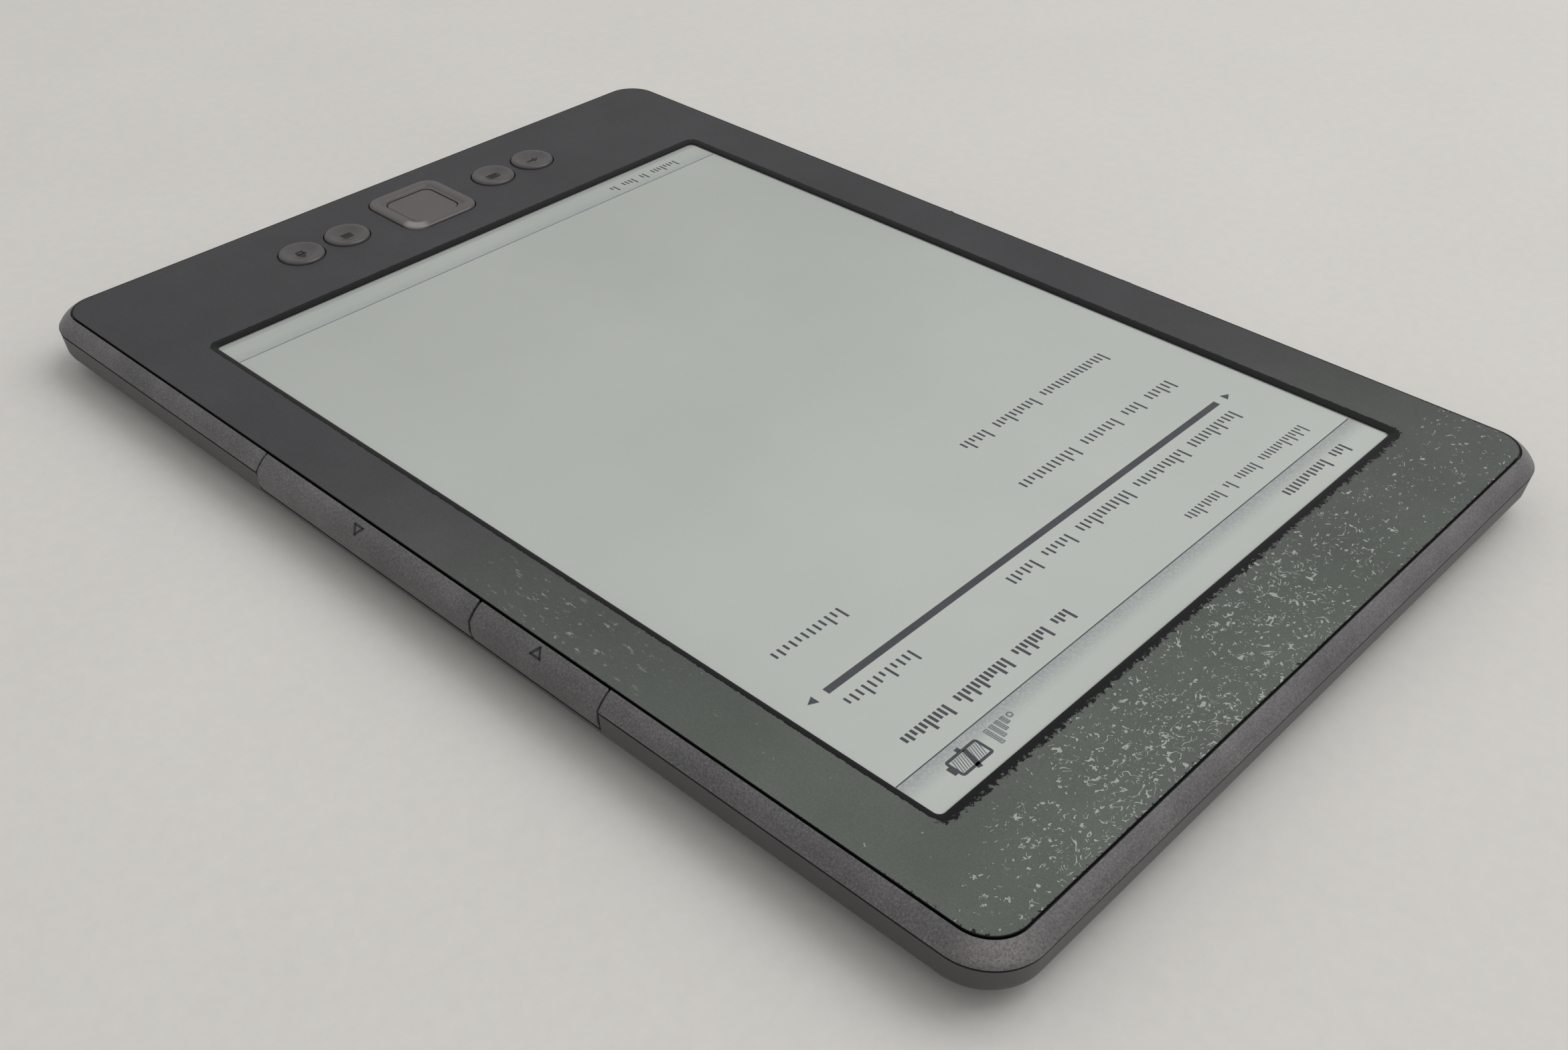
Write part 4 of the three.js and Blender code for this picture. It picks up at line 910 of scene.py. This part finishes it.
def make_page_key(name, side, finish):
    """A page key: a box cut to the body's outer section, then rounded at its edges."""
    low, high = cad_box(f"{name}_{side}")
    inner = HALF_WIDTH - SEAM_INSET + SEAM_GAP / 2
    piece = brick(f"{name}_{side}_looks", (inner, low.y, low.z), (HALF_WIDTH, high.y, TOP))
    foot = (HALF_WIDTH - BAND_INSET, UNDER_RISE)
    outline_points = [foot, *profile_points()]
    edit(piece)
    for (x0, z0), (x1, z1) in zip(outline_points, outline_points[1:]):
        bpy.ops.mesh.select_all(action="SELECT")
        bpy.ops.mesh.bisect(
            plane_co=(x0, 0, z0), plane_no=(z1 - z0, 0, x0 - x1),
            use_fill=True, clear_outer=True, threshold=0.0001,
        )
    if side == "left":
        bpy.ops.mesh.select_all(action="SELECT")
        bpy.ops.transform.resize(value=(-1, 1, 1), center_override=(0, 0, 0))
    outwards(piece)
    tidy(piece)
    soften(piece, 0.11, 3, 32)
    polish(piece)
    body = f"{name.split('_')[0]}_{side}"
    add_to_reader(piece, body, "rim_plastic", finish, f"{name}_{side}")
    make_page_mark(name, side, body, (low.y + high.y) / 2)


def make_page_mark(name, side, body, y):
    """An open triangle inlaid in a page key's bevel: forwards points right and back points left."""
    points = profile_points()
    x, z = points[len(points) // 2]
    tilt = math.atan2(points[-1][1] - points[0][1], points[0][0] - points[-1][0])
    deselect_everything()
    bpy.ops.mesh.primitive_circle_add(
        vertices=3, radius=MARK_RADIUS, fill_type="NGON", location=(0, 0, -MARK_SINK)
    )
    piece = settle(f"{name}_{side}_mark")
    edit(piece)
    bpy.ops.mesh.select_all(action="SELECT")
    bpy.ops.mesh.bevel(offset=MARK_CORNER, segments=4, affect="VERTICES")
    pick(piece, "FACE")
    bpy.ops.mesh.inset(thickness=MARK_WEIGHT)
    bpy.ops.mesh.delete(type="FACE")
    bpy.ops.mesh.select_all(action="SELECT")
    pull(MARK_HEIGHT)
    leave_edit()
    forwards = name.startswith("next")
    if forwards:
        y += NEXT_MARK_SHIFT
    outward = forwards == (side == "right")
    turn = math.radians(-90 if outward else 90)
    place = Matrix.Diagonal((MARK_SQUEEZE, 1, 1, 1)) @ Matrix.Rotation(turn, 4, "Z")
    place = Matrix.Translation((x, y, z)) @ Matrix.Rotation(tilt, 4, "Y") @ place
    if side == "left":
        place = Matrix.Scale(-1, 4, (1, 0, 0)) @ place
    piece.data.transform(place)
    edit(piece)
    outwards(piece)
    polish(piece)
    add_to_reader(piece, body, "key_plastic", FINISHES["mark"])


# ---- Foot end and back contacts ----
def make_power_button(finish):
    """A flat button with round ends in the foot end."""
    x, z, half_x, half_z = power_place()
    low, high = cad_box("power_button")
    piece = upright_block("power_button_looks", half_x, half_z, half_z * NEARLY_ROUND, x, z, low.y, high.y)
    soften(piece, 0.25, 4, 60)
    polish(piece, 50)
    add_to_reader(piece, "power_push", "key_plastic", finish, "power_button")


def make_charge_light(finish):
    """A round light pipe."""
    low, high = cad_box("charge_light")
    x, y, z = middle("charge_light")
    half = half_sizes("charge_light")[0]
    piece = upright_block("charge_light_looks", half, half, half * NEARLY_ROUND, x, z, low.y, high.y)
    soften(piece, 0.3, 4, 60)
    polish(piece, 60)
    add_to_reader(piece, "housing", "light_pipe", finish, "charge_light")


def make_socket(finish):
    """The charging socket's sheet steel shell."""
    low, high = cad_box("usb_socket")
    x, y, z = middle("usb_socket")
    half_x, half_y, half_z = half_sizes("usb_socket")
    piece = upright_block("usb_socket_looks", half_x, half_z, SOCKET_CORNER, x, z, low.y, high.y)
    inner_x, inner_z = half_x - SOCKET_SHEET, half_z - SOCKET_SHEET
    inner_y0, inner_y1 = low.y - OVERSHOOT, high.y - SOCKET_SHEET
    carve(piece, upright_block("hollow", inner_x, inner_z, SOCKET_HOLLOW_CORNER, x, z, inner_y0, inner_y1))
    tidy(piece)
    soften(piece, 0.07)
    polish(piece)
    add_to_reader(piece, "housing", "steel", finish, "usb_socket")


def make_contact(node, finish):
    """A gold pad in the back, with a raised edge."""
    low, high = cad_box(node)
    x, y, z = middle(node)
    piece = disc(f"{node}_looks", half_sizes(node)[0], high.z, x, y, CONTACT_SIDES)
    bpy.ops.mesh.flip_normals()
    pull(low.z + CONTACT_GAP - high.z)
    rise(*CONTACT_STEPS)
    outwards(piece)
    polish(piece)
    add_to_reader(piece, "housing", "gold_contact", finish, node)


# ---- What the e-paper shows: plain strokes and bars, no words ----
INK_LIFT = 0.012
INK_SINK = 0.02
SCREEN_LEVELS = (FILM_TOP - INK_SINK, FILM_TOP + INK_LIFT)
HATCH_LEVELS = (FILM_TOP - INK_SINK, FILM_TOP + INK_LIFT / 2)
KEY_MARK_LEVELS = (TOP - 0.1, TOP + 0.08)
WORD_GAP = 0.8

def thin_bars(name, bars, levels=SCREEN_LEVELS):
    """Thin printed bars, each (x, y, length, width, turn): one is modelled and copied."""
    low, high = levels
    start = plate("bar", 0.5, 0.5, 0, low)
    pull(high - low)
    outwards(start)
    pieces = []
    for x, y, length, width, turn in bars:
        copy = start.copy()
        copy.data = start.data.copy()
        bpy.context.scene.collection.objects.link(copy)
        place = Matrix.Translation((x, y, 0)) @ Matrix.Rotation(math.radians(turn), 4, "Z")
        copy.data.transform(place @ Matrix.Diagonal((length, width, 1, 1)))
        pieces.append(copy)
    bpy.data.objects.remove(start)
    return merge(name, pieces)


def outline(name, half_x, half_y, radius, weight, x, y, levels=SCREEN_LEVELS):
    """A thin printed frame with rounded corners."""
    low, high = levels
    piece = plate(name, half_x, half_y, radius, low, x, y, 5)
    bpy.ops.mesh.inset(thickness=weight)
    bpy.ops.mesh.delete(type="FACE")
    bpy.ops.mesh.select_all(action="SELECT")
    pull(high - low)
    return outwards(piece)


def wedge(name, radius, x, y, turn, levels=SCREEN_LEVELS, squeeze=1.0):
    """A small printed triangle; its point is turned from +Y."""
    low, high = levels
    deselect_everything()
    bpy.ops.mesh.primitive_circle_add(vertices=3, radius=radius, fill_type="NGON")
    piece = settle(name)
    edit(piece)
    pick(piece, "FACE")
    pull(high - low)
    outwards(piece)
    place = Matrix.Translation((x, y, low)) @ Matrix.Rotation(math.radians(turn), 4, "Z")
    piece.data.transform(place @ Matrix.Diagonal((squeeze, 1, 1, 1)))
    return piece


def word_line(x0, x1, y, height, weight, words):
    """Upright strokes of uneven height, in word-like groups between two ends, as bars."""
    step = (x1 - x0) / (sum(words) + WORD_GAP * (len(words) - 1))
    foot = y - height / 2
    x = x0 + step / 2
    bars = []
    for word in words:
        for index in range(word):
            tall = index == 0 or random.random() < 0.25
            first = height * (1.0 if tall else random.uniform(0.62, 0.72))
            bars.append((x - 0.26 * step, foot + first / 2, weight, first, 0))
            second = height * random.uniform(0.45, 0.7)
            bars.append((x + 0.24 * step, foot + second / 2, weight, second, 0))
            x += step
        x += WORD_GAP * step
    return bars


LIST_ROWS = (
    # from, to, middle, height, stroke, pairs of strokes in each group
    (-39.3, -24.7, 64.2, 1.9, 0.36, (2, 6)),
    (-39.5, -12.5, 58.3, 1.8, 0.27, (7, 3, 1, 5)),
    (11.2, 39.8, 58.2, 1.95, 0.40, (2, 4, 6, 5)),
    (-36.4, 11.8, 50.5, 2.1, 0.33, (6, 6, 6, 3, 3)),
    (28.2, 39.5, 50.3, 1.9, 0.33, (6,)),
    (-37.0, -4.1, 40.6, 2.1, 0.33, (3, 2, 4, 6)),
    (28.2, 39.6, 40.2, 1.9, 0.33, (6,)),
    (-36.6, -5.8, 30.4, 2.1, 0.33, (8, 5, 3)),
    (-38.9, -24.5, -53.6, 1.7, 0.27, (4, 1, 2, 1)),
)
SELECTED_Y = 47.35
ICON_Y = 63.9
SIGNAL_FOOT = 62.6
SIGNAL_STEPS = ((32.75, 2.5), (31.85, 2.05), (30.95, 1.6), (30.1, 1.15))  # place, height


def make_screen_marks(ink, half_ink):
    """The list, its selection line, the two rules, and the battery and signal signs."""
    bars = []
    for row in LIST_ROWS:
        bars += word_line(*row)
    add_to_reader(thin_bars("list_text", bars), "housing", "e_paper", ink)
    lines = thin_bars("lines", [(1.4, SELECTED_Y, 76.2, 0.95, 0), (0, HEADER_Y, RULE_LENGTH, 0.14, 0)])
    ends = ((41.55, -90), (-38.8, 90))
    arrows = [wedge("arrow", 0.8, x, SELECTED_Y, turn, squeeze=0.9) for x, turn in ends]
    add_to_reader(merge("selection_line", [lines, *arrows]), "housing", "e_paper", ink)
    foot_line = thin_bars("foot_line", [(0, FOOTER_Y, RULE_LENGTH, 0.16, 0)])
    add_to_reader(foot_line, "housing", "e_paper", half_ink)
    cell = [(39.6, ICON_Y, 0.5, 1.2, 0), (36.75, 64.2, 0.62, 2.7, -16), (36.9, 62.4, 0.6, 0.5, 0)]
    battery = [outline("battery", 2.5, 1.3, 0.4, 0.36, 36.85, ICON_Y), thin_bars("battery_mark", cell)]
    add_to_reader(merge("battery_icon", battery), "housing", "e_paper", ink)
    hatch = [(34.9 + 0.33 * step, ICON_Y, 0.13, 1.9, -22) for step in range(13)]
    signal = []
    for x, height in SIGNAL_STEPS:
        y = SIGNAL_FOOT + height / 2
        signal.append(outline("signal", 0.31, height / 2, 0.1, 0.14, x, y))
        hatch.append((x, y, 0.2, height * 0.8, 0))
    signal.append(outline("signal", 0.4, 0.4, 0.36, 0.19, 29.1, 63.05))
    signal.append(thin_bars("hatch", hatch, HATCH_LEVELS))
    add_to_reader(merge("signal_icon", signal), "housing", "e_paper", half_ink)


def key_mark(name, x, y):
    """The parts of a chin key's sign: an arrow, a grid, three bars or a roof."""
    levels = KEY_MARK_LEVELS
    if name == "back_key":
        return [
            thin_bars("mark", [(x + 0.3, y, 1.3, 0.32, 0)], levels),
            wedge("mark", 0.62, x - 0.62, y, 90, levels),
        ]
    if name == "keyboard_key":
        columns, rows = (-1.5, -0.5, 0.5, 1.5), (-0.5, 0.5)
        dots = [(x + 0.42 * i, y + 0.34 * j, 0.24, 0.2, 0) for i in columns for j in rows]
        return [outline("mark", 1.15, 0.62, 0.2, 0.17, x, y, levels), thin_bars("mark", dots, levels)]
    if name == "menu_key":
        return [thin_bars("mark", [(x, y + 0.5 * i, 1.7, 0.24, 0) for i in (-1, 0, 1)], levels)]
    return [
        outline("mark", 0.6, 0.5, 0.08, 0.22, x, y - 0.38, levels),
        wedge("mark", 0.75, x, y + 0.3, 0, levels, 1.3),
    ]


def make_key_marks(ink):
    """Simple signs in the dishes of the chin keys."""
    for name in CHIN_KEYS:
        x, y, radius = key_place(name)
        mark = merge(f"{name}_mark", key_mark(name, x, y))
        add_to_reader(mark, f"{name.split('_')[0]}_push", "key_plastic", ink)


# ---- Materials of the inner parts ----
def board_finish():
    """Green solder mask with copper tracks under it."""
    finish = Finish("circuit_board", roughness=0.35)
    x, y = finish.axes()[:2]
    lines = []
    for value, field in ((x, 0.19), (y, 0.27)):
        line = finish.math("SUBTRACT", finish.math("FRACT", finish.times(value, 1.15)), 0.5)
        line = finish.rest_of(finish.band(finish.math("ABSOLUTE", line), 0.14, 0.19))
        lines.append(finish.times(line, finish.band(finish.noise(field, 0.0), 0.52, 0.54)))
    tracks = finish.math("MAXIMUM", *lines)
    fine = finish.noise(6.0, 3.0, 0.6)
    colour = finish.mix(tracks, finish.ramp(fine, *BOARD_TONES), TRACK_GREEN)
    relief = finish.bump(finish.scaled(fine, 0.1, tracks), 0.03, 0.7)
    return finish.paint(colour, finish.scaled(fine, 0.2, 0.26), relief)


def finish_inner_parts():
    """Gives every CAD node that still shows its own worked finish."""
    for row in frame["record"]["subparts"]:
        node = frame["nodes"][row["node"]]
        finish = INNER_FINISHES.get(row["material_slot"])
        if finish and node.material_slots:
            for place in node.material_slots:
                place.material = finish


def ground_and_light():
    """A pale card floor, an even studio sky and two soft boxes."""
    deselect_everything()
    bpy.ops.mesh.primitive_plane_add(size=FLOOR_SIZE, location=(0, 0, -FLOOR_DROP))
    floor = settle("floor")
    floor.data.materials.append(FINISHES["floor"])
    world = bpy.data.worlds.new("studio")
    bpy.context.scene.world = world
    world.use_nodes = True
    tree = world.node_tree
    direction = tree.nodes.new("ShaderNodeTexCoord")
    parts = tree.nodes.new("ShaderNodeSeparateXYZ")
    sky = tree.nodes.new("ShaderNodeValToRGB")
    sky.color_ramp.elements[0].color = (*(HORIZON_LIGHT * c for c in LIGHT_TINT), 1)
    sky.color_ramp.elements[1].color = (*(CEILING_LIGHT * c for c in LIGHT_TINT), 1)
    tree.links.new(direction.outputs["Generated"], parts.inputs[0])
    tree.links.new(parts.outputs["Z"], sky.inputs["Fac"])
    tree.links.new(sky.outputs["Color"], tree.nodes["Background"].inputs["Color"])
    for name, place, size, power in SOFTBOXES:
        data = bpy.data.lights.new(name, "AREA")
        data.size = size
        data.energy = power
        data.color = LIGHT_TINT
        lamp = bpy.data.objects.new(name, data)
        bpy.context.scene.collection.objects.link(lamp)
        lamp.location = place
        lamp.rotation_euler = (-Vector(place)).to_track_quat("-Z", "Y").to_euler()
    bpy.context.scene.view_settings.view_transform = "Standard"


FINISHES = {
    "panel": panel_finish(),
    "rim": rim_finish(),
    "rear": speckled("rear_plastic", (0.044, 0.042, 0.044), (0.072, 0.069, 0.072), 0.45, 3.5, 0.025),
    "key": key_finish(),
    "mark": speckled("mark_ink", (0.009, 0.009, 0.010), (0.017, 0.017, 0.018), 0.5, 6.0, 0.004),
    "paper": paper_finish(),
    "ink": speckled("e_ink", (0.028, 0.033, 0.040), (0.055, 0.062, 0.072), 0.6, 6.0, 0.002),
    "half_ink": speckled("grey_e_ink", (0.115, 0.13, 0.145), (0.17, 0.19, 0.205), 0.6, 6.0, 0.002),
    "steel": speckled(
        "steel", (0.42, 0.42, 0.43), (0.56, 0.56, 0.57), 0.36, 2.0, 0.006, 1.0, (0.2, 4.0, 4.0)),
    "gold": speckled("gold_contact", (0.62, 0.43, 0.16), (0.80, 0.58, 0.25), 0.3, 4.0, 0.006, 1.0),
    "light": speckled("light_pipe", (0.62, 0.66, 0.62), (0.74, 0.78, 0.74), 0.3, 2.0, 0.006),
    "floor": speckled("floor_card", (0.60, 0.59, 0.57), (0.64, 0.63, 0.61), 0.85, 0.5, 0.01),
}

INNER_FINISHES = {
    "rim_plastic": FINISHES["rim"],
    "key_plastic": FINISHES["key"],
    "steel": FINISHES["steel"],
    "gold_contact": FINISHES["gold"],
    "circuit_board": board_finish(),
    "display_glass": speckled("backplane_glass", (0.15, 0.18, 0.17), (0.21, 0.25, 0.24), 0.22, 1.5, 0.002),
    "foam": speckled("black_foam", (0.006, 0.006, 0.006), (0.020, 0.020, 0.020), 0.9, 8.0, 0.08),
    "chassis_metal": speckled("cast_alloy", (0.40, 0.41, 0.42), (0.55, 0.56, 0.57), 0.42, 3.0, 0.03, 1.0),
    "chip_black": speckled("chip_black", (0.009, 0.010, 0.011), (0.020, 0.021, 0.023), 0.45, 7.0, 0.012),
    "flex_film": speckled(
        "amber_film", (0.30, 0.14, 0.02), (0.42, 0.22, 0.04), 0.3, 2.0, 0.01, 0.0, (0.3, 3.0, 3.0)),
    "battery_wrap": speckled("battery_foil", (0.34, 0.35, 0.36), (0.50, 0.51, 0.52), 0.35, 0.9, 0.05, 0.6),
    "silicone": speckled("silicone", (0.045, 0.046, 0.048), (0.075, 0.077, 0.080), 0.6, 4.0, 0.02),
}

make_camera()
make_front_frame(FINISHES["rim"])
make_rear_case(FINISHES["rear"])
make_panel(FINISHES["panel"])
make_film(FINISHES["paper"])
for key in CHIN_KEYS:
    make_round_key(key, FINISHES["key"])
make_nav(FINISHES["key"])
for side in ("right", "left"):
    for key in ("next_page_key", "last_page_key"):
        make_page_key(key, side, FINISHES["rim"])
make_power_button(FINISHES["key"])
make_charge_light(FINISHES["light"])
make_socket(FINISHES["steel"])
for contact in COVER_CONTACTS:
    make_contact(contact, FINISHES["gold"])
make_screen_marks(FINISHES["ink"], FINISHES["half_ink"])
make_key_marks(FINISHES["mark"])
finish_inner_parts()
ground_and_light()
